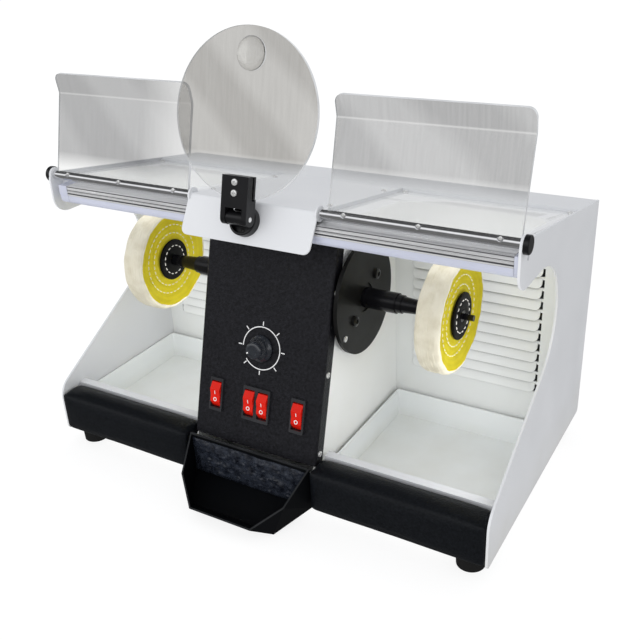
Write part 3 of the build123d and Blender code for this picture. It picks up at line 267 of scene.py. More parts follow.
white = worn_white("white_coat", (0.70, 0.71, 0.73), (0.74, 0.75, 0.77),
                   dust=(0.68, 0.67, 0.64), dust_low=0.0, dust_high=0.06)
# Painted light: the chamber, louver and tray coats are brighter copies of the white coat, to make up for the
# shade inside the chambers; the tray's bluish tint is its own
brightened_chamber_white = worn_white("brightened_chamber_coat", (0.93, 0.94, 0.93), (0.96, 0.97, 0.96),
                           dust=(0.90, 0.90, 0.87), dust_low=0.02, dust_high=0.20)
brightened_louver_white = worn_white("brightened_louver_coat", (0.83, 0.85, 0.84), (0.87, 0.89, 0.88),
                          dust=(0.83, 0.84, 0.82), dust_low=0.02, dust_high=0.20)
# Painted shade: dark corners under the louver slats
brightened_louver_white.paint_corner_shade((0.10, 0.10, 0.09), 0.006)
brightened_tray_white = worn_white("brightened_tray_coat", (0.88, 0.91, 0.91), (0.93, 0.95, 0.95),
                        dust=(0.82, 0.83, 0.80), dust_low=0.015, dust_high=0.03)
panel_black = coat("panel_black", (0.005, 0.005, 0.0065), (0.015, 0.015, 0.019),
                   rough=0.44, grain=900, depth=0.0003, patch=420, cells=True, Specular_IOR_Level=0.25)
# Painted highlight: a lighter grey for the scoop's rim
scoop_rim_highlight = coat("scoop_rim_highlight", (0.010, 0.011, 0.012), (0.024, 0.025, 0.027),
                rough=0.5, grain=1200, depth=0.00002, patch=40, Specular_IOR_Level=0.15)
scoop_black = coat("scoop_black", (0.002, 0.0025, 0.0033), (0.004, 0.0045, 0.0055),
                   rough=0.42, grain=1100, depth=0.00004, Specular_IOR_Level=0.08)
flange_black = coat("flange_black", (0.005, 0.005, 0.005), (0.010, 0.010, 0.009),
                    rough=0.40, grain=800, depth=0.00002, Specular_IOR_Level=0.15)
gloss_black = coat("spindle_black", (0.003, 0.003, 0.004), (0.006, 0.006, 0.007),
                   rough=0.18, grain=300, depth=0.00001, swing=0.04, Specular_IOR_Level=0.3)
chrome = coat("chrome", (0.76, 0.76, 0.77), (0.86, 0.86, 0.87),
              rough=0.09, grain=260, depth=0.000008, swing=0.04, stretch=(6, 1, 1), Metallic=1.0)
steel = coat("screw_steel", (0.76, 0.76, 0.75), (0.90, 0.90, 0.89),
             rough=0.26, grain=900, depth=0.00001, patch=120, Metallic=0.6)
bolt_black = coat("bolt_black", (0.006, 0.006, 0.006), (0.014, 0.014, 0.014),
                  rough=0.33, grain=900, depth=0.00001, patch=120, Specular_IOR_Level=0.5)
diffuser = coat("lamp_diffuser", (0.52, 0.54, 0.64), (0.58, 0.60, 0.71),
                rough=0.34, grain=500, depth=0.00001, patch=12, Subsurface_Weight=0.2,
                Subsurface_Radius=(0.004, 0.004, 0.005), Subsurface_Scale=1.0)
# Painted light: each sheet's tint fades out above its foot, the left shield's thins out at its right end, and
# the shields carry a painted highlight at their fold
shield_foot = (ROD, rising(SHIELD_LEAN))
acrylic_left = clear("clear_acrylic_left", (0.42, 0.42, 0.42), (0.54, 0.54, 0.54), scale=5,
                     foot=shield_foot, fade=(0.008, 0.022), bend_highlight=SHIELD_BEND, pale=(-0.12, -0.075))
acrylic_right = clear("clear_acrylic_right", (0.43, 0.43, 0.43), (0.58, 0.58, 0.58), scale=5,
                      foot=shield_foot, fade=(0.026, 0.040), bend_highlight=SHIELD_BEND)
pane = clear("pane_acrylic", (0.93, 0.94, 0.93), (0.97, 0.97, 0.96), scale=7, through=0.7)
lens = clear("lens_acrylic", (0.41, 0.40, 0.38), (0.57, 0.56, 0.54), scale=6,
             foot=(LENS_PIVOT, rising(MAGNIFIER_LEAN)), fade=(0.036, 0.050))
bullseye_glass = clear("bullseye_acrylic", (0.90, 0.90, 0.89), (0.97, 0.97, 0.96), scale=20)
# Painted highlight: the clear sheets' edges in pale grey
sheet_edge = coat("acrylic_edge", (0.60, 0.61, 0.62), (0.80, 0.81, 0.82),
                  rough=0.22, grain=500, depth=0.00002, patch=30)
leatherette = coat("leatherette", (0.0028, 0.0036, 0.0050), (0.0064, 0.0078, 0.0104),
                   rough=0.42, grain=800, depth=0.00022, patch=520, cells=True, Specular_IOR_Level=0.18)
rubber = coat("rubber", (0.006, 0.006, 0.006), (0.012, 0.012, 0.012),
              rough=0.66, grain=1200, depth=0.00003, Specular_IOR_Level=0.2)
# Painted highlights: the liner's lighter bluish patches
liner_film = coat("liner_film", (0.004, 0.005, 0.009), (0.030, 0.036, 0.050),
                  rough=0.26, grain=420, depth=0.0004, patch=150, Specular_IOR_Level=0.5)
washer_hide = coat("washer_hide", (0.002, 0.002, 0.002), (0.006, 0.006, 0.006),
                   rough=0.5, grain=1500, depth=0.00008, cells=True, Specular_IOR_Level=0.12)
thread = coat("thread", (0.76, 0.74, 0.68), (0.90, 0.88, 0.82),
              rough=0.7, grain=4000, depth=0.00008, patch=300)
buff_thread = coat("buff_thread", (0.74, 0.69, 0.42), (0.86, 0.82, 0.60),
                   rough=0.8, grain=4000, depth=0.00008, patch=300)
felt = coat("filter_felt", (0.010, 0.010, 0.010), (0.024, 0.024, 0.024),
            rough=0.9, grain=1600, depth=0.0004, patch=40, swing=0.02)
black_plastic = coat("black_plastic", (0.004, 0.004, 0.005), (0.009, 0.009, 0.010),
                     rough=0.32, grain=1300, depth=0.00002, Specular_IOR_Level=0.4)
knob_plastic = coat("knob_plastic", (0.012, 0.015, 0.021), (0.024, 0.028, 0.037),
                    rough=0.30, grain=1300, depth=0.00001, Specular_IOR_Level=0.6, Coat_Weight=1.0,
                    Coat_Roughness=0.12)
bezel_plastic = coat("bezel_plastic", (0.022, 0.022, 0.025), (0.036, 0.036, 0.040),
                     rough=0.36, grain=1300, depth=0.00002, Specular_IOR_Level=0.4)
fan_plastic = coat("fan_plastic", (0.012, 0.012, 0.013), (0.020, 0.020, 0.021),
                   rough=0.42, grain=900, depth=0.00002)
red_plastic = coat("rocker_red", (0.60, 0.010, 0.004), (0.72, 0.016, 0.006),
                   rough=0.22, grain=700, depth=0.00001, patch=60, Specular_IOR_Level=0.18)
print_white = coat("print_white", (0.74, 0.74, 0.74), (0.84, 0.84, 0.84),
                   rough=0.5, grain=1500, depth=0.00002, patch=200)
motor_steel = coat("motor_steel", (0.30, 0.30, 0.31), (0.42, 0.42, 0.43),
                   rough=0.4, grain=700, depth=0.00003, stretch=(0.1, 1, 1), Metallic=1.0)
motor_alloy = coat("motor_alloy", (0.52, 0.52, 0.53), (0.64, 0.64, 0.65),
                   rough=0.42, grain=800, depth=0.00005, Metallic=1.0)


def buff_rim():
    """The wheel's edge: frayed cream cloth in thin layers."""
    look = Look("buff_rim", {"Specular IOR Level": 0.1})
    layers = look.wave(420, "X", distortion=2.0)
    dirt = look.noise(70, detail=6.0)
    fray = look.noise(1800)
    layered = look.spread(layers, 0.0, 0.5, start=0.0, end=1.0)
    shade = look.mix(layered, rgb(0.70, 0.66, 0.53), rgb(0.84, 0.80, 0.68))
    soiled = look.spread(dirt, 0.0, 0.65, start=0.44, end=0.70)
    look.set(
        Base_Color=look.mix(soiled, shade, rgb(0.56, 0.51, 0.38)),
        Roughness=look.spread(fray, 0.82, 0.96),
        Normal=look.bump(look.sum(layers, fray, 1.6), 0.00012),
    )
    return look


RING_RATE = 1400.0


def buff_face():
    """The wheel's side: yellow cloth, woven, rubbed darker in rings."""
    look = Look("buff_face", {"Specular IOR Level": 0.1})
    far = look.radius(tuple(SPINDLE))
    ringed = look.add("ShaderNodeMath", {0: far, 1: RING_RATE}, operation="MULTIPLY").outputs[0]
    rings = look.add("ShaderNodeMath", {0: ringed}, operation="SINE").outputs[0]
    smear = look.noise(55, detail=6.0)
    weave = look.sum(look.wave(900, "Y"), look.wave(900, "Z"), 1.0)
    yellow = look.mix(look.spread(smear, 0.0, 1.0), rgb(0.82, 0.67, 0.025), rgb(0.93, 0.79, 0.05))
    rubbed = look.spread(rings, 0.0, 0.14, start=-1.0, end=1.0)
    look.set(
        Base_Color=look.mix(rubbed, yellow, rgb(0.60, 0.50, 0.04)),
        Roughness=look.spread(smear, 0.78, 0.92),
        Normal=look.bump(look.sum(weave, rings, 0.3), 0.00022),
    )
    return look


DRAWN_OUT = (0.02, 1, 1)


def ribbed_aluminium():
    """Extruded aluminium: bright lands between dark lines that run along X, painted shade and reflection in
    the grooves.
    """
    look = Look("lamp_aluminium", {"Metallic": 0.5})
    # Painted shade and reflection: the dark lines along the grooves
    lines = look.wave(96, "Z", distortion=0.6, stretch=DRAWN_OUT)
    drawn = look.noise(700, detail=2.0, stretch=DRAWN_OUT)
    raised = look.spread(lines, 0.0, 1.0, start=0.04, end=0.34)
    land = look.mix(look.spread(drawn, 0.0, 1.0), rgb(0.74, 0.74, 0.75), rgb(0.98, 0.98, 0.98))
    look.set(
        Base_Color=look.mix(raised, rgb(0.13, 0.13, 0.14), land),
        Roughness=look.spread(drawn, 0.14, 0.28),
        Normal=look.bump(lines, 0.0003),
    )
    return look


aluminium = ribbed_aluminium()
rim_cloth = buff_rim()
face_cloth = buff_face()

SLOT_LOOKS = {
    "white_sheet": white, "black_sheet": panel_black, "clear_acrylic": pane, "lens_acrylic": lens,
    "cushion": leatherette, "rubber_black": rubber, "chrome_rod": chrome, "steel_screws": steel,
    "black_bolts": bolt_black, "lamp_aluminium": aluminium, "diffuser": diffuser,
    "spindle_black": gloss_black, "motor_steel": motor_steel, "motor_alloy": motor_alloy,
    "buff_cloth": face_cloth, "washer_leather": washer_hide, "filter_cloth": felt,
    "fan_plastic": fan_plastic, "black_plastic": black_plastic, "rocker_red": red_plastic,
}
NODE_LOOKS = {
    "column_wall_left": brightened_chamber_white, "column_wall_right": brightened_chamber_white,
    "louver_panel_left": brightened_louver_white, "louver_panel_right": brightened_louver_white,
    "chip_tray_left": brightened_tray_white, "chip_tray_right": brightened_tray_white,
    "shield_left": acrylic_left, "shield_right": acrylic_right, "catch_scoop": scoop_black,
    "bearing_flanges": flange_black, "switch_bezels": bezel_plastic,
}
for subpart in frame["record"]["subparts"]:
    name = subpart["node"]
    look = NODE_LOOKS.get(name) or SLOT_LOOKS[subpart["material_slot"]]
    nodes[name].data.materials.clear()
    nodes[name].data.materials.append(look.material)

# Clear nodes: tinted faces and pale grey edges, a painted highlight, left out of shadows and bounced light
top_normal = rising(TOP_SLOPE)
EDGE_ON = 0.5
CLEAR_FACES = {
    "shield_left": facing(SHIELD_LEAN), "shield_right": facing(SHIELD_LEAN),
    "window_panes": top_normal, "magnifier_lens": facing(MAGNIFIER_LEAN),
}
for name, face in CLEAR_FACES.items():
    nodes[name].visible_shadow = nodes[name].visible_diffuse = False
    nodes[name].data.materials.append(sheet_edge.material)
    for polygon in nodes[name].data.polygons:
        polygon.material_index = 1 if abs(polygon.normal.dot(face)) < EDGE_ON else 0

# The scoop's rim, by the direction it faces, in a lighter grey: a painted highlight
SCOOP_RIM = Vector((0, -41.4, 50.0)).normalized()
RIM_MATCH = 0.99
nodes["catch_scoop"].data.materials.append(scoop_rim_highlight.material)
for polygon in nodes["catch_scoop"].data.polygons:
    polygon.material_index = 1 if polygon.normal.dot(SCOOP_RIM) > RIM_MATCH else 0


# Mesh helpers

def strip(bm, rings, closed=True):
    """Quads between rings of points that hold the same number of points."""
    rows = [[bm.verts.new(p) for p in ring] for ring in rings]
    count = len(rows[0])
    last = count if closed else count - 1
    for one, two in zip(rows, rows[1:]):
        for k in range(last):
            m = (k + 1) % count
            bm.faces.new((one[k], one[m], two[m], two[k]))
    return rows


def lathe(bm, place, profile, segments, shape=None, ends=True):
    """A turned form about the place's Z axis. shape may move a point given its radius, height and angle."""
    rings = []
    for r, h in profile:
        ring = []
        for k in range(segments):
            turn = 2 * pi * k / segments
            a, b = shape(r, h, turn) if shape else (r, h)
            ring.append(place @ Vector((a * cos(turn), a * sin(turn), b)))
        rings.append(ring)
    rows = strip(bm, rings)
    if ends:
        bm.faces.new(list(reversed(rows[0])))
        bm.faces.new(rows[-1])
    return rows


TUBE_END = 0.5


def tube(bm, path, radius, sides, flat, lift):
    """A thread along a path, thinner and closed at both ends, flattened along lift."""
    rings = []
    for k, p in enumerate(path):
        ahead = path[min(k + 1, len(path) - 1)] - path[max(k - 1, 0)]
        side = ahead.cross(lift).normalized()
        rise = side.cross(ahead).normalized()
        thick = radius if 0 < k < len(path) - 1 else radius * TUBE_END
        ring = []
        for n in range(sides):
            turn = 2 * pi * n / sides
            ring.append(p + side * thick * cos(turn) + rise * thick * flat * sin(turn))
        rings.append(ring)
    rows = strip(bm, rings)
    bm.faces.new(list(reversed(rows[0])))
    bm.faces.new(rows[-1])


def slab(bm, outline, out, thick):
    """A flat plate with this outline, raised along out."""
    base = [bm.verts.new(p) for p in outline]
    top = [bm.verts.new(p + out * thick) for p in outline]
    bm.faces.new(list(reversed(base)))
    bm.faces.new(top)
    for k in range(len(outline)):
        m = (k + 1) % len(outline)
        bm.faces.new((base[k], base[m], top[m], top[k]))


def make(name, bm, looks, body, stands_for=(), sharp=35):
    """Turn a mesh into a piece that rides on a body."""
    bmesh.ops.recalc_face_normals(bm, faces=bm.faces)
    mesh = bpy.data.meshes.new(name)
    bm.to_mesh(mesh)
    bm.free()
    mesh.shade_smooth()
    mesh.set_sharp_from_angle(angle=radians(sharp))
    piece = bpy.data.objects.new(name, mesh)
    scene.collection.objects.link(piece)
    for look in looks:
        mesh.materials.append(look.material)
    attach(piece, body)
    if stands_for:
        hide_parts(*stands_for)
    return piece


def lumps(name):
    """The separate solids of a CAD node, each as a list of points."""
    bm = bmesh.new()
    bm.from_mesh(nodes[name].data)
    bmesh.ops.remove_doubles(bm, verts=bm.verts, dist=WELD)
    seen = set()
    found = []
    for first in bm.verts:
        if first.index in seen:
            continue
        seen.add(first.index)
        stack = [first]
        points = []
        while stack:
            v = stack.pop()
            points.append(v.co.copy())
            for e in v.link_edges:
                w = e.other_vert(v)
                if w.index not in seen:
                    seen.add(w.index)
                    stack.append(w)
        found.append(points)
    bm.free()
    return found


HEAD_SLACK = 1.02


def heads(name, axis_of, height):
    """Where each fastener of a CAD node has its head: seat, axis and radius."""
    found = []
    for points in lumps(name):
        middle = sum(points, Vector()) / len(points)
        axis = axis_of(middle)
        top = max(p.dot(axis) for p in points)
        rim = [p for p in points if p.dot(axis) > top - height * HEAD_SLACK]
        spot = sum(rim, Vector()) / len(rim)
        spot += axis * (top - height - spot.dot(axis))
        radius = max(((p - spot) - axis * (p - spot).dot(axis)).length for p in rim)
        found.append((spot, axis, radius))
    return found


HEAD_RINGS = (0.0001, 0.1, 0.2, 0.3, 0.4, 0.5, 0.6, 0.7, 0.8, 0.9, 0.97, 1.0)
HEAD_SEGMENTS = 40
HEAD_FOOT = 0.2 * MM
DOME = 0.30
CROSS_LONG, CROSS_WIDE, CROSS_DEEP = 0.56, 0.15, 0.55
HEXAGON_HALF, HEXAGON_DEEP = 0.44, 0.6
NEARLY_ALONG = 0.9


def fastener(bm, seat, axis, radius, height, drive, turn):
    """A domed head with a cross or hexagon recess."""
    place = axes(seat, axis, X if abs(axis.x) < NEARLY_ALONG else Y)

    def shape(r, h, angle):
        f = r / radius
        level = height * (1 - DOME * f ** 3)
        u, v = f * cos(angle + turn), f * sin(angle + turn)
        if drive == "cross":
            level_arm = max(abs(u) / CROSS_LONG, abs(v) / CROSS_WIDE)
            upright_arm = max(abs(v) / CROSS_LONG, abs(u) / CROSS_WIDE)
            deep = CROSS_DEEP if min(level_arm, upright_arm) < 1 else 0.0
        else:
            sixth = pi / 3
            edge = f * cos((angle + turn) % sixth - sixth / 2)
            deep = HEXAGON_DEEP if edge < HEXAGON_HALF else 0.0
        return r, level - deep * height

    profile = [(radius * f, 0.0) for f in HEAD_RINGS]
    rows = lathe(bm, place, profile, HEAD_SEGMENTS, shape, ends=False)
    bm.faces.new(rows[0])
    foot = []
    for k in range(HEAD_SEGMENTS):
        around = 2 * pi * k / HEAD_SEGMENTS
        foot.append(bm.verts.new(place @ Vector((radius * cos(around), radius * sin(around), -HEAD_FOOT))))
    for k in range(HEAD_SEGMENTS):
        m = (k + 1) % HEAD_SEGMENTS
        bm.faces.new((rows[-1][k], rows[-1][m], foot[m], foot[k]))
    bm.faces.new(list(reversed(foot)))


def outward(middle):
    """The way out of the column on this side."""
    return X if middle.x > 0 else -X


# Fasteners: heads on the CAD screws and bolts, and three that only the scene has
HEAD_HEIGHT = 1.5 * MM
BOLT_HEIGHT = 3.0 * MM
BOLT_LEAST_RADIUS = 4 * MM
BOLT_TOP = 0.1 * MM
SUNK_SHARE = 0.55
SCREW_TURN, BOLT_TURN = 0.7, 0.4
ROD_SCREW_RADIUS, ROD_SCREW_HEIGHT, ROD_SCREW_TURN = 2.4 * MM, 0.8 * MM, 0.3
DISH_SCREW_RADIUS, DISH_SCREW_HEIGHT, DISH_SCREW_TURN = 1.8 * MM, 0.9 * MM, 0.5
DISH_SCREW_OUT, DISH_SCREW_DOWN = 3.0 * MM, 8.0 * MM
screw_sets = (
    ("top_screws", lambda p: top_normal, "cabinet", 1.0),
    ("panel_screws", outward, "cabinet", 1.0),
    ("clamp_screws", lambda p: facing(MAGNIFIER_LEAN), "magnifier", 1.0),
    ("shield_screws_left", lambda p: facing(SHIELD_LEAN), "shield_left", SUNK_SHARE),
    ("shield_screws_right", lambda p: facing(SHIELD_LEAN), "shield_right", SUNK_SHARE),
)
for name, axis_of, body, share in screw_sets:
    bm = bmesh.new()
    for n, (seat, axis, radius) in enumerate(heads(name, axis_of, HEAD_HEIGHT)):
        fastener(bm, seat, axis, radius * share, HEAD_HEIGHT * share, "cross", SCREW_TURN * n)
    make(f"{name}_heads", bm, [steel], body, (name,))

for side, sign in SIDES:
    bm = bmesh.new()
    seat = ROD + X * sign * LUG_FACE
    fastener(bm, seat, -X * sign, ROD_SCREW_RADIUS, ROD_SCREW_HEIGHT, "hexagon", ROD_SCREW_TURN)
    make(f"rod_end_screw_{side}", bm, [bolt_black], f"shield_{side}")
bm = bmesh.new()
dish_out, dish_up = facing(DISH_LEAN), rising(DISH_LEAN)
seat = DISH + dish_out * DISH_SCREW_OUT - dish_up * DISH_SCREW_DOWN
fastener(bm, seat, dish_out, DISH_SCREW_RADIUS, DISH_SCREW_HEIGHT, "cross", DISH_SCREW_TURN)
make("dish_screw", bm, [bolt_black], "cabinet")

bolts, plate_screws = bmesh.new(), bmesh.new()
for n, points in enumerate(lumps("flange_bolts")):
    axis = outward(points[0])
    top = max(p.dot(axis) for p in points)
    rim = [p for p in points if p.dot(axis) > top - BOLT_TOP]
    spot = sum(rim, Vector()) / len(rim)
    radius = max((p - spot).length for p in rim)
    if radius > BOLT_LEAST_RADIUS:
        fastener(bolts, spot - axis * BOLT_HEIGHT, axis, radius, BOLT_HEIGHT, "hexagon", BOLT_TURN * n)
    else:
        fastener(plate_screws, spot - axis * HEAD_HEIGHT, axis, radius, HEAD_HEIGHT, "cross", BOLT_TURN * n)
make("flange_bolt_heads", bolts, [bolt_black], "cabinet", ("flange_bolts",))
make("flange_plate_screws", plate_screws, [steel], "cabinet")

# Bullseye: a small domed lens on the large one
BULLSEYE = Vector((3.8, 125.0, 0.25)) * MM
BULLSEYE_RADIUS, BULLSEYE_DOME, BULLSEYE_STEPS = 12.8 * MM, 3.6 * MM, 12
LEAST_RADIUS = 0.01 * MM
ROUND_SEGMENTS = 64
lens_out, lens_up = facing(MAGNIFIER_LEAN), rising(MAGNIFIER_LEAN)
bm = bmesh.new()
bullseye = axes(LENS_PIVOT + X * BULLSEYE.x + lens_up * BULLSEYE.y + lens_out * BULLSEYE.z, lens_out, X)
profile = []
for k in range(BULLSEYE_STEPS + 1):
    turn = pi / 2 * k / BULLSEYE_STEPS
    profile.append((max(BULLSEYE_RADIUS * cos(turn), LEAST_RADIUS), BULLSEYE_DOME * sin(turn)))
lathe(bm, bullseye, profile, ROUND_SEGMENTS)
make("lens_bullseye", bm, [bullseye_glass], "magnifier")

# Buff wheels: layered rims, puckered sides, rows of stitches
STITCH_ROWS = (26 * MM, 34 * MM)
FACE_STEPS = 26
LAYERS = 20
WHEEL_SEGMENTS = 150
FACE_EDGE = 45.6 * MM
FLARE = 2.8 * MM
SIDE_SET_BACK = 0.9 * MM
PUCKER_DEEP, PUCKER_HALF = 0.7 * MM, 2.4 * MM
WAVE_LEAST, WAVE_GROWTH, WAVE_START = 0.2 * MM, 0.04, 30 * MM
WAVE_RATE, WAVE_DRIFT = 3.2, 60
EDGE_RATE, EDGE_SWING = 4, 1.3 * MM
FRINGE_RATE, FRINGE_SWING = 13, 0.7 * MM
FRAY_RATE, FRAY_SWING, FRAY_STEP = 5, 0.5 * MM, 0.6
LAYER_GROOVE = 0.12 * MM
SHOULDER_DROP, SHOULDER_POWER = 2.6 * MM, 5
SWAY_RATE, SWAY_SWING, SWAY_SEED = 2.4, 0.5 * MM, 40
RIM_SHARE = 0.985
WHEEL_SEEDS = {"left": 25.0, "right": 10.0}
WHEEL_TURNS = [2 * pi * k / WHEEL_SEGMENTS for k in range(WHEEL_SEGMENTS)]


def ripple(x, y, z):
    return noise.noise(Vector((x, y, z)))


def ring_ripple(turn, rate, seed):
    """Noise that closes on itself around a circle."""
    return ripple(rate * cos(turn), rate * sin(turn), seed)


def wheel_face(r, turn, seed):
    """How far the wheel's side stands out at this radius and angle."""
    pucker = 0.0
    for row in STITCH_ROWS:
        pucker -= PUCKER_DEEP * max(0.0, 1 - abs(r - row) / PUCKER_HALF)
    spread_out = FLARE * max(0.0, (r - STITCH_ROWS[-1]) / (FACE_EDGE - STITCH_ROWS[-1]))
    swing = WAVE_LEAST + WAVE_GROWTH * max(0.0, r - WAVE_START)
    wave = swing * ring_ripple(turn, WAVE_RATE, seed + r * WAVE_DRIFT)
    return WHEEL_HALF - SIDE_SET_BACK + pucker + spread_out + wave


def face_edge(turn, seed):
    """Radius at which the wheel's side ends and its frayed rim begins."""
    coarse = EDGE_SWING * ring_ripple(turn, EDGE_RATE, seed)
    fine = FRINGE_SWING * ring_ripple(turn, FRINGE_RATE, seed)
    return FACE_EDGE + coarse + fine


def wheel_points(seed):
    """The wheel's rings of (radius, height, angle): up one side, across the rim and down the other side."""
    faces = []
    for side in (-1, 1):
        face = []
        for k in range(FACE_STEPS):
            ring = []
            for t in WHEEL_TURNS:
                r = BORE + (face_edge(t, seed + side) - BORE) * k / (FACE_STEPS - 1)
                ring.append((r, side * wheel_face(r, t, seed + side), t))
            face.append(ring)
        faces.append(face)
    rim = []
    for k in range(2 * LAYERS + 1):
        share = k / LAYERS - 1
        layer = k // 2
        groove = LAYER_GROOVE if k % 2 == 0 else 0.0
        drop = groove + SHOULDER_DROP * abs(share) ** SHOULDER_POWER
        ring = []
        for t in WHEEL_TURNS:
            fray = FRAY_SWING * ring_ripple(t, FRAY_RATE, seed + layer * FRAY_STEP)
            edge = wheel_face(FACE_EDGE, t, seed + (1 if share > 0 else -1))
            sway = SWAY_SWING * ring_ripple(t, SWAY_RATE, seed + SWAY_SEED) * (1 - share * share)
            ring.append((WHEEL_RADIUS + fray - drop, share * edge * RIM_SHARE + sway, t))
        rim.append(ring)
    return faces[0] + rim + list(reversed(faces[1]))


DASH, DASH_GAP = 3.6 * MM, 1.9 * MM
THREAD, THREAD_SIDES, THREAD_FLAT = 0.5 * MM, 6, 0.8
STITCH_STEPS, STITCH_RISE, STITCH_DIP = 4, 0.45, 1.3


def stitch_ring(bm, place, radius, level):
    """White dashes in a circle, each end drawn into the cloth."""
    count = round(2 * pi * radius / (DASH + DASH_GAP))
    step = 2 * pi / count
    span = step * DASH / (DASH + DASH_GAP)
    lift = place.to_3x3() @ Z
    for k in range(count):
        path = []
        for n in range(STITCH_STEPS + 1):
            share = n / STITCH_STEPS - 0.5
            turn = k * step + span * share
            height = level + THREAD * (STITCH_RISE - STITCH_DIP * abs(2 * share) ** 3)
            path.append(place @ Vector((radius * cos(turn), radius * sin(turn), height)))
        tube(bm, path, THREAD, THREAD_SIDES, THREAD_FLAT, lift)


FACE_STITCHES = WHEEL_HALF - 1.25 * MM
for side, sign in SIDES:
    place = axes(SPINDLE + X * sign * WHEEL_X, X, Y)
    bm = bmesh.new()
    rings = [[place @ Vector((r * cos(t), r * sin(t), h)) for r, h, t in row]
             for row in wheel_points(WHEEL_SEEDS[side])]
    strip(bm, rings + rings[:1])
    for n, f in enumerate(bm.faces):
        on_rim = FACE_STEPS - 1 <= n // WHEEL_SEGMENTS <= FACE_STEPS + 2 * LAYERS
        f.material_index = 0 if on_rim else 1
    bmesh.ops.remove_doubles(bm, verts=bm.verts, dist=WELD)
    make(f"buff_{side}", bm, [rim_cloth, face_cloth], "spindle", (f"buff_wheel_{side}",))

    bm = bmesh.new()
    for face in (-1, 1):
        turned = axes(SPINDLE + X * sign * WHEEL_X, X * face, Y)
        for row in STITCH_ROWS:
            stitch_ring(bm, turned, row, FACE_STITCHES)
    make(f"buff_stitches_{side}", bm, [buff_thread], "spindle")

# Leather washers on both sides of each wheel, with a stitched groove
WASHER_RADIUS, WASHER_THICK, WASHER_ROW = 20 * MM, 2.5 * MM, 14 * MM
WASHER_STITCHES = WASHER_THICK - 0.25 * MM
WASHER_RATE, WASHER_SWING, WASHER_STILL, WASHER_SEED_STEP = 4, 0.12 * MM, 10 * MM, 3
WASHER_PROFILE = (
    (BORE, 0), (19.4 * MM, 0), (WASHER_RADIUS, 0.5 * MM), (WASHER_RADIUS, WASHER_THICK - 0.7 * MM),
    (19.5 * MM, WASHER_THICK - 0.15 * MM), (18.5 * MM, WASHER_THICK), (15 * MM, WASHER_THICK),
    (WASHER_ROW, WASHER_THICK - 0.35 * MM), (13 * MM, WASHER_THICK), (8 * MM, WASHER_THICK),
    (6 * MM, WASHER_THICK - 0.1 * MM), (BORE, WASHER_THICK - 0.4 * MM),
)
washers, washer_threads = bmesh.new(), bmesh.new()
for _, sign in SIDES:
    for face in (-1, 1):
        place = axes(SPINDLE + X * (sign * WHEEL_X + face * WHEEL_HALF), X * face, Y)

        def cup(r, h, turn):
            """Uneven edge about a still middle."""
            swing = WASHER_SWING if r > WASHER_STILL else 0.0
            return r + swing * ring_ripple(turn, WASHER_RATE, face + sign * WASHER_SEED_STEP), h

        rows = lathe(washers, place, WASHER_PROFILE, ROUND_SEGMENTS, cup, ends=False)
        for k in range(ROUND_SEGMENTS):
            m = (k + 1) % ROUND_SEGMENTS
            washers.faces.new((rows[-1][k], rows[-1][m], rows[0][m], rows[0][k]))
        stitch_ring(washer_threads, place, WASHER_ROW, WASHER_STITCHES)
make("leather_washers", washers, [washer_hide], "spindle", ("wheel_washers",))
make("washer_stitches", washer_threads, [thread], "spindle")

# Speed knob with its flutes and pointer, and the dial printed on the panel
panel_out = facing(PANEL_LEAN)
knob = axes(KNOB_PLACE, panel_out, X)
FLUTES = 26
POINTER_ANGLE = radians(208)
FLUTE_DEEP, FLUTE_LOW, FLUTE_HIGH, FLUTE_STEPS = 0.22 * MM, 5 * MM, 12 * MM, 6
POINTER_HALF, POINTER_PROUD, POINTER_SUNK = 0.55 * MM, 0.05 * MM, 0.3 * MM
KNOB_PROFILE = (
    (3.0, 0.3), (11.6, 0.3), (12.0, 0.8), (12.0, 1.8), (11.6, 2.6), (10.6, 3.3), (9.7, 4.2), (9.1, 5.6),
    (8.7, 7.2), (8.4, 9.2), (8.1, 11.2), (7.7, 12.6), (7.0, 13.6), (6.0, 14.05), (4.6, 14.2), (4.2, 13.8),
    (0.02, 13.7),
)
POINTER_PROFILE = (
    (4.7, 14.3), (6.1, 14.12), (7.1, 13.66), (7.8, 12.65), (8.2, 11.2), (8.8, 7.2), (9.2, 5.6),
)


def flute(r, h, turn):
    """Shallow grooves around the knob's grip."""
    deep = FLUTE_DEEP if FLUTE_LOW < h < FLUTE_HIGH else 0.0
    return r - deep * (0.5 + 0.5 * cos(FLUTES * turn)), h


bm = bmesh.new()
lathe(bm, knob, [(r * MM, h * MM) for r, h in KNOB_PROFILE], FLUTES * FLUTE_STEPS, flute)
make("speed_knob_turned", bm, [knob_plastic], "knob", ("speed_knob",))


def radial(place, turn, r, h):
    """A point at this angle, radius and height about the place's Z axis."""
    return place @ Vector((r * cos(turn), r * sin(turn), h))


bm = bmesh.new()
aside = knob.to_3x3() @ Vector((-sin(POINTER_ANGLE), cos(POINTER_ANGLE), 0)) * POINTER_HALF
proud, sunk = panel_out * POINTER_PROUD, panel_out * POINTER_SUNK
path = [radial(knob, POINTER_ANGLE, r * MM, h * MM) for r, h in POINTER_PROFILE]
strip(bm, [[p + aside, p + proud, p - aside, p - sunk] for p in path])
make("knob_pointer", bm, [print_white], "knob")

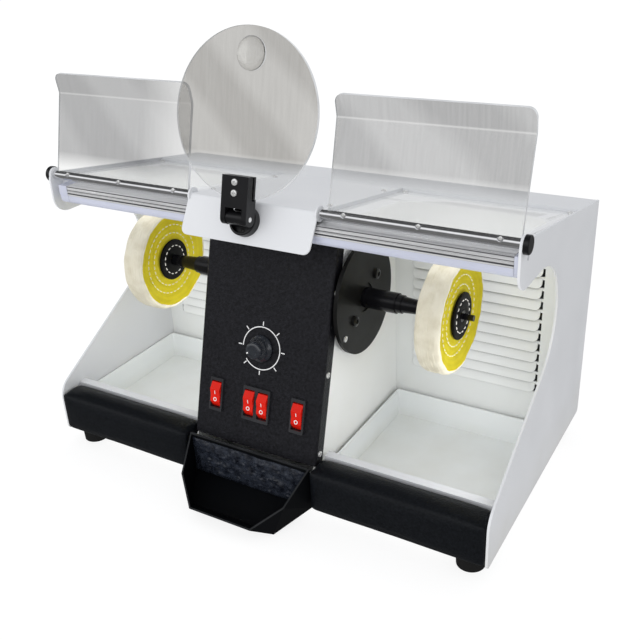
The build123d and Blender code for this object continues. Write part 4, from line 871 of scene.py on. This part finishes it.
DIAL_RADIUS, DIAL_LINE, DIAL_LIFT = 19 * MM, 0.45 * MM, 0.1 * MM
DIAL_START, DIAL_END = radians(-141), radians(182)
TICK_START, TICK_END = 20.2 * MM, 24.0 * MM
DIAL_STEPS, TICKS = 90, 8
bm = bmesh.new()
rows = []
for k in range(DIAL_STEPS + 1):
    turn = DIAL_START + (DIAL_END - DIAL_START) * k / DIAL_STEPS
    rows.append([radial(knob, turn, DIAL_RADIUS + a, b) for a, b in
                 ((-DIAL_LINE, 0), (DIAL_LINE, 0), (DIAL_LINE, DIAL_LIFT), (-DIAL_LINE, DIAL_LIFT))])
made = strip(bm, rows)
bm.faces.new(made[0])
bm.faces.new(list(reversed(made[-1])))
for k in range(TICKS):
    turn = 2 * pi * k / TICKS
    run = knob.to_3x3() @ Vector((cos(turn), sin(turn), 0))
    across = knob.to_3x3() @ Vector((-sin(turn), cos(turn), 0)) * DIAL_LINE
    one, two = KNOB_PLACE + run * TICK_START, KNOB_PLACE + run * TICK_END
    slab(bm, [one - across, two - across, two + across, one + across], panel_out, DIAL_LIFT)
make("dial_print", bm, [print_white], "cabinet")

# Marks on the rockers: a bar on the upper half and a ring on the lower
rocker_up, rocker_out = rising(ROCKER_LEAN), facing(ROCKER_LEAN)
ROCKER_X = {"vacuum_left": -43 * MM, "light": -7 * MM, "power": 7 * MM, "vacuum_right": 43 * MM}
ROCKER_VALLEY, ROCKER_CREST = Vector((0.0, 6.2)) * MM, Vector((5.9, 7.0)) * MM
BAR_SHARE, RING_SHARE = 0.52, 0.62
BAR_HALF_WIDTH, BAR_HALF_HEIGHT = 0.35 * MM, 1.7 * MM
RING_INNER, RING_OUTER, RING_SEGMENTS = 1.2 * MM, 1.9 * MM, 32
MARK_LIFT = 0.12 * MM
MARK_WELD = 1e-7
RING_PROFILE = (
    (RING_INNER, 0), (RING_OUTER, 0), (RING_OUTER, MARK_LIFT), (RING_INNER, MARK_LIFT), (RING_INNER, 0),
)


def on_rocker(x, share, sign):
    """A place on the facet from the valley to the crest, above the pivot for sign 1 and below for -1."""
    up, out = ROCKER_VALLEY.lerp(ROCKER_CREST, share)
    run = ROCKER_CREST - ROCKER_VALLEY
    face = (rocker_up * run.x * sign + rocker_out * run.y).cross(X)
    if face.dot(rocker_out) < 0:
        face = -face
    return axes(ROCKER_PIVOT + X * x + rocker_up * up * sign + rocker_out * out, face, X)


for name, x in ROCKER_X.items():
    bm = bmesh.new()
    bar = on_rocker(x, BAR_SHARE, 1)
    outline = [bar @ Vector((a * BAR_HALF_WIDTH, b * BAR_HALF_HEIGHT, 0)) for a, b in CORNERS]
    slab(bm, outline, bar.to_3x3() @ Z, MARK_LIFT)
    ring = on_rocker(x, RING_SHARE, -1)
    lathe(bm, ring, RING_PROFILE, RING_SEGMENTS, ends=False)
    bmesh.ops.remove_doubles(bm, verts=bm.verts, dist=MARK_WELD)
    make(f"rocker_marks_{name}", bm, [print_white], f"rocker_{name}")

# Crinkled liner on the scoop's back wall
liner_low, liner_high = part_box("scoop_liner")
LINER_COLUMNS, LINER_ROWS = 110, 44
FOLD_RATE, FOLD_HEIGHT, FOLD_SHARP, FOLD_SEED = 95, 1.9 * MM, 1.6, 4.0
CREASE_RATE, CREASE_HEIGHT, CREASE_SHARP, CREASE_SEED, CREASE_SHIFT = 300, 0.9 * MM, 1.8, 9.0, 7
FILM_STAND, FILM_BACK = 0.35 * MM, 0.05 * MM
HEM_ACROSS, HEM_UP, HEM_LEAST = 14, 8, 0.15
WANDER, WANDER_RATE, WANDER_SEED = 0.8 * MM, 120, (2.0, 1.0)
SAG, SAG_RATE, SAG_SEED = 1.6 * MM, 40, (3.0, 5.0)


def crinkle(x, z):
    """Folds of the film: sharp ridges at two sizes."""
    coarse = abs(ripple(x * FOLD_RATE, z * FOLD_RATE, FOLD_SEED))
    fine = abs(ripple(x * CREASE_RATE + CREASE_SHIFT, z * CREASE_RATE, CREASE_SEED))
    return FOLD_HEIGHT * (1 - FOLD_SHARP * coarse) + CREASE_HEIGHT * (1 - CREASE_SHARP * fine)


bm = bmesh.new()
front, back = [], []
for r in range(LINER_ROWS + 1):
    rise = r / LINER_ROWS
    z = liner_low.z + (liner_high.z - liner_low.z) * rise
    edge = WANDER * ripple(z * WANDER_RATE, *WANDER_SEED)
    line = []
    for c in range(LINER_COLUMNS + 1):
        share = c / LINER_COLUMNS
        x = liner_low.x + (liner_high.x - liner_low.x) * share
        across = HEM_ACROSS * min(share, 1 - share)
        upward = HEM_UP * min(rise, 1 - rise) + HEM_LEAST
        proud = min(1.0, across, upward) * max(0.0, crinkle(x, z))
        sag = SAG * ripple(x * SAG_RATE, *SAG_SEED) * rise
        line.append(Vector((x + edge, liner_high.y - FILM_STAND - proud, z - max(0.0, sag))))
    front.append(line)
    back.append([Vector((p.x, liner_high.y - FILM_BACK, p.z)) for p in line])
rows = strip(bm, front, closed=False)
rear = strip(bm, back, closed=False)
seams = [(rows[end], rear[end]) for end in (0, -1)]
seams += [([r[end] for r in rows], [r[end] for r in rear]) for end in (0, -1)]
for one, two in seams:
    for k in range(len(one) - 1):
        bm.faces.new((one[k], one[k + 1], two[k + 1], two[k]))
make("scoop_film", bm, [liner_film], "cabinet", ("scoop_liner",), sharp=25)

# Armrests: leatherette pulled over foam. The cloth moves by CAP at most, and the foam undoes FIRM of its
# inward moves
VOXEL = 3 * MM
INSET = 0.7 * MM
CAP = 2.0 * MM
FIRM = 0.85
STILL = 1e-9
PRESSURE = 4.0
CLOTH_FRAMES = 20
SMOOTH_FACTOR = 0.4


def select_only(obj):
    """Make this the one selected and active object."""
    for other in bpy.context.selected_objects:
        other.select_set(False)
    obj.select_set(True)
    bpy.context.view_layer.objects.active = obj


def apply_all(obj):
    """Turn every modifier into mesh."""
    select_only(obj)
    for modifier in list(obj.modifiers):
        bpy.ops.object.modifier_apply(modifier=modifier.name)


for side, _ in SIDES:
    source = f"armrest_{side}"
    low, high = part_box(source)
    bm = bmesh.new()
    bm.from_mesh(nodes[source].data)
    bmesh.ops.remove_doubles(bm, verts=bm.verts, dist=WELD)
    middle = (low + high) / 2
    size = high - low
    for v in bm.verts:
        for n in range(3):
            v.co[n] = middle[n] + (v.co[n] - middle[n]) * (1 - 2 * INSET / size[n])
    pad = make(f"armrest_pad_{side}", bm, [leatherette], "cabinet", (source,), sharp=60)
    remesh = pad.modifiers.new("remesh", "REMESH")
    remesh.mode = "VOXEL"
    remesh.voxel_size = VOXEL
    remesh.use_smooth_shade = True
    apply_all(pad)
    before = [v.co.copy() for v in pad.data.vertices]
    cloth = pad.modifiers.new("cloth", "CLOTH")
    cloth.settings.use_pressure = True
    cloth.settings.uniform_pressure_force = PRESSURE
    cloth.settings.effector_weights.gravity = 0.0
    scene.frame_start, scene.frame_end = 1, CLOTH_FRAMES
    for k in range(1, CLOTH_FRAMES + 1):
        scene.frame_set(k)
    shaped = pad.evaluated_get(bpy.context.evaluated_depsgraph_get()).data
    after = [v.co.copy() for v in shaped.vertices]
    pad.modifiers.remove(cloth)
    scene.frame_set(1)
    outwards = [v.normal.copy() for v in pad.data.vertices]
    for v, one, two, out in zip(pad.data.vertices, before, after, outwards):
        move = two - one
        inward = min(0.0, move.dot(out))
        move -= out * inward * FIRM
        v.co = one + move * min(1.0, CAP / max(move.length, STILL))
    for v in pad.data.vertices:
        for n in range(3):
            v.co[n] = min(max(v.co[n], low[n]), high[n])
    smooth = pad.modifiers.new("smooth", "SMOOTH")
    smooth.factor, smooth.iterations = SMOOTH_FACTOR, 1
    finer = pad.modifiers.new("finer", "SUBSURF")
    finer.levels = finer.render_levels = 1
    apply_all(pad)
    pad.data.shade_smooth()

# Light: an even white room, a large soft lamp in front and small fills in the chambers. Reflections see bands
# along X instead of the even room, dark at the horizon and overhead
ROOM_STRENGTH = 0.88
FLOOR_GLOW = 0.84
FLOOR_PAINT = 0.22
FLOOR_REFLECTED = 0.16
LAMP_PLACE, LAMP_SIZE, LAMP_POWER = Vector((-0.3, -2.0, 0.75)), 1.6, 10.0
LAMP_AIM = Vector((0, 0, 0.15))
ROOM_WHITE = (0.97, 0.98, 1.0, 1.0)
FILL_ROOF, FILL_SIDE = (120, 80), (90, 60)
CHAMBER_LAMPS = (
    ("roof_left", (-150, 0, 236), Z, FILL_ROOF, 0.024),
    ("roof_right", (150, 0, 236), Z, FILL_ROOF, 0.024),
    ("side_left", (-68.5, -15, 130), X, FILL_SIDE, 0.060),
    ("side_right", (218, -45, 125), X, FILL_SIDE, 0.056),
)
REAR_LIFT = 0.35
MIRRORED_SKY = ((0.05, 0.10), (0.45, 1.0), (0.72, 1.0), (0.90, 0.08))


class Stage:
    """Nodes of the world or of the floor."""

    def __init__(self, tree):
        self.tree = tree
        tree.nodes.clear()
        self.rays = self.add("ShaderNodeLightPath").outputs

    def add(self, kind, *inputs, **settings):
        node = self.tree.nodes.new(kind)
        for key, value in settings.items():
            setattr(node, key, value)
        for socket, value in zip(node.inputs, inputs):
            if isinstance(value, bpy.types.NodeSocket):
                self.tree.links.new(value, socket)
            else:
                socket.default_value = value
        return node

    def pick(self, fac, one, two):
        return self.add("ShaderNodeMixShader", fac, one, two).outputs[0]

    def greater(self, one, two):
        return self.add("ShaderNodeMath", one, two, operation="MAXIMUM").outputs[0]

    def straight(self):
        """One for a ray that comes from the camera, a mirror or a clear sheet."""
        through = self.greater(self.rays["Is Transmission Ray"], self.rays["Is Glossy Ray"])
        return self.greater(self.rays["Is Camera Ray"], through)

    def reflected(self):
        """One for a ray that a glossy surface has turned back."""
        return self.add("ShaderNodeMath", self.rays["Glossy Depth"], 1.0, operation="MINIMUM").outputs[0]


world = bpy.data.worlds.new("studio")
scene.world = world
world.use_nodes = True
sky = Stage(world.node_tree)
sight = sky.add("ShaderNodeTexCoord").outputs["Generated"]
across = sky.add("ShaderNodeVectorMath", sight, (0, 1, 1), operation="MULTIPLY").outputs[0]
flat = sky.add("ShaderNodeVectorMath", across, operation="NORMALIZE").outputs[0]
way = sky.add("ShaderNodeSeparateXYZ", flat).outputs
rear = sky.add("ShaderNodeMapRange", way["Y"], 0.0, 1.0, 0.0, REAR_LIFT).outputs["Result"]
bands = sky.add("ShaderNodeValToRGB", sky.add("ShaderNodeMath", way["Z"], rear, operation="ADD").outputs[0])
while len(bands.color_ramp.elements) < len(MIRRORED_SKY):
    bands.color_ramp.elements.new(0.5)
for stop, (position, shade) in zip(bands.color_ramp.elements, MIRRORED_SKY):
    stop.position, stop.color = position, rgb(shade, shade, shade)
mirrored = sky.add("ShaderNodeBackground", ROOM_WHITE, bands.outputs["Color"]).outputs[0]
lit = sky.add("ShaderNodeBackground", ROOM_WHITE, ROOM_STRENGTH).outputs[0]
plain = sky.add("ShaderNodeBackground", rgb(1, 1, 1), 1.0).outputs[0]
sky.add("ShaderNodeOutputWorld", sky.pick(sky.straight(), lit, sky.pick(sky.reflected(), plain, mirrored)))

for name, place, back, size, power in CHAMBER_LAMPS:
    fill = bpy.data.lights.new(f"chamber_{name}", "AREA")
    fill.shape = "RECTANGLE"
    fill.size, fill.size_y = size[0] * MM, size[1] * MM
    fill.energy = power
    held = bpy.data.objects.new(fill.name, fill)
    held.matrix_world = axes(Vector(place) * MM, back, Y.cross(back))
    held.visible_camera = held.visible_glossy = held.visible_transmission = False
    scene.collection.objects.link(held)
lamp = bpy.data.lights.new("softbox", "AREA")
lamp.size = LAMP_SIZE
lamp.energy = LAMP_POWER
softbox = bpy.data.objects.new("softbox", lamp)
softbox.location = LAMP_PLACE
softbox.visible_glossy = False
softbox.rotation_mode = "QUATERNION"
softbox.rotation_quaternion = (LAMP_AIM - LAMP_PLACE).to_track_quat("-Z", "Y")
scene.collection.objects.link(softbox)

# Floor: pale, keeps a soft shadow
FLOOR_HALF = 9.0
bm = bmesh.new()
corners = [Vector((a * FLOOR_HALF, b * FLOOR_HALF, 0)) for a, b in CORNERS]
bm.faces.new([bm.verts.new(p) for p in corners])
mesh = bpy.data.meshes.new("floor")
bm.to_mesh(mesh)
bm.free()
floor = bpy.data.objects.new("floor", mesh)
scene.collection.objects.link(floor)
paper = bpy.data.materials.new("paper")
paper.use_nodes = True
sheet = Stage(paper.node_tree)
glow = sheet.add("ShaderNodeEmission", rgb(1, 1, 1), FLOOR_GLOW).outputs[0]
matte = sheet.add("ShaderNodeBsdfDiffuse", rgb(FLOOR_PAINT, FLOOR_PAINT, FLOOR_PAINT)).outputs[0]
bright = sheet.add("ShaderNodeAddShader", glow, matte).outputs[0]
dim = sheet.add("ShaderNodeEmission", rgb(1, 1, 1), FLOOR_REFLECTED).outputs[0]
mirror = sheet.add("ShaderNodeMath", sheet.straight(), sheet.reflected(), operation="MULTIPLY").outputs[0]
sheet.add("ShaderNodeOutputMaterial", sheet.pick(mirror, bright, dim))
mesh.materials.append(paper)

# Camera
camera = bpy.data.cameras.new("camera")
camera.lens = CAMERA_LENS
camera.sensor_width = CAMERA_SENSOR
camera.clip_start, camera.clip_end = CAMERA_NEAR, CAMERA_FAR
eye = bpy.data.objects.new("camera", camera)
scene.collection.objects.link(eye)
back = Vector((sin(CAMERA_AZIMUTH) * cos(CAMERA_ELEVATION), -cos(CAMERA_AZIMUTH) * cos(CAMERA_ELEVATION),
               sin(CAMERA_ELEVATION)))
level = Vector((cos(CAMERA_AZIMUTH), sin(CAMERA_AZIMUTH), 0))
high = back.cross(level)
right = level * cos(CAMERA_ROLL) + high * sin(CAMERA_ROLL)
above = high * cos(CAMERA_ROLL) - level * sin(CAMERA_ROLL)
eye.matrix_world = Matrix.Translation(CAMERA_PLACE) @ Matrix((right, above, back)).transposed().to_4x4()
scene.camera = eye

scene.view_settings.view_transform = "Standard"

bpy.context.view_layer.update()
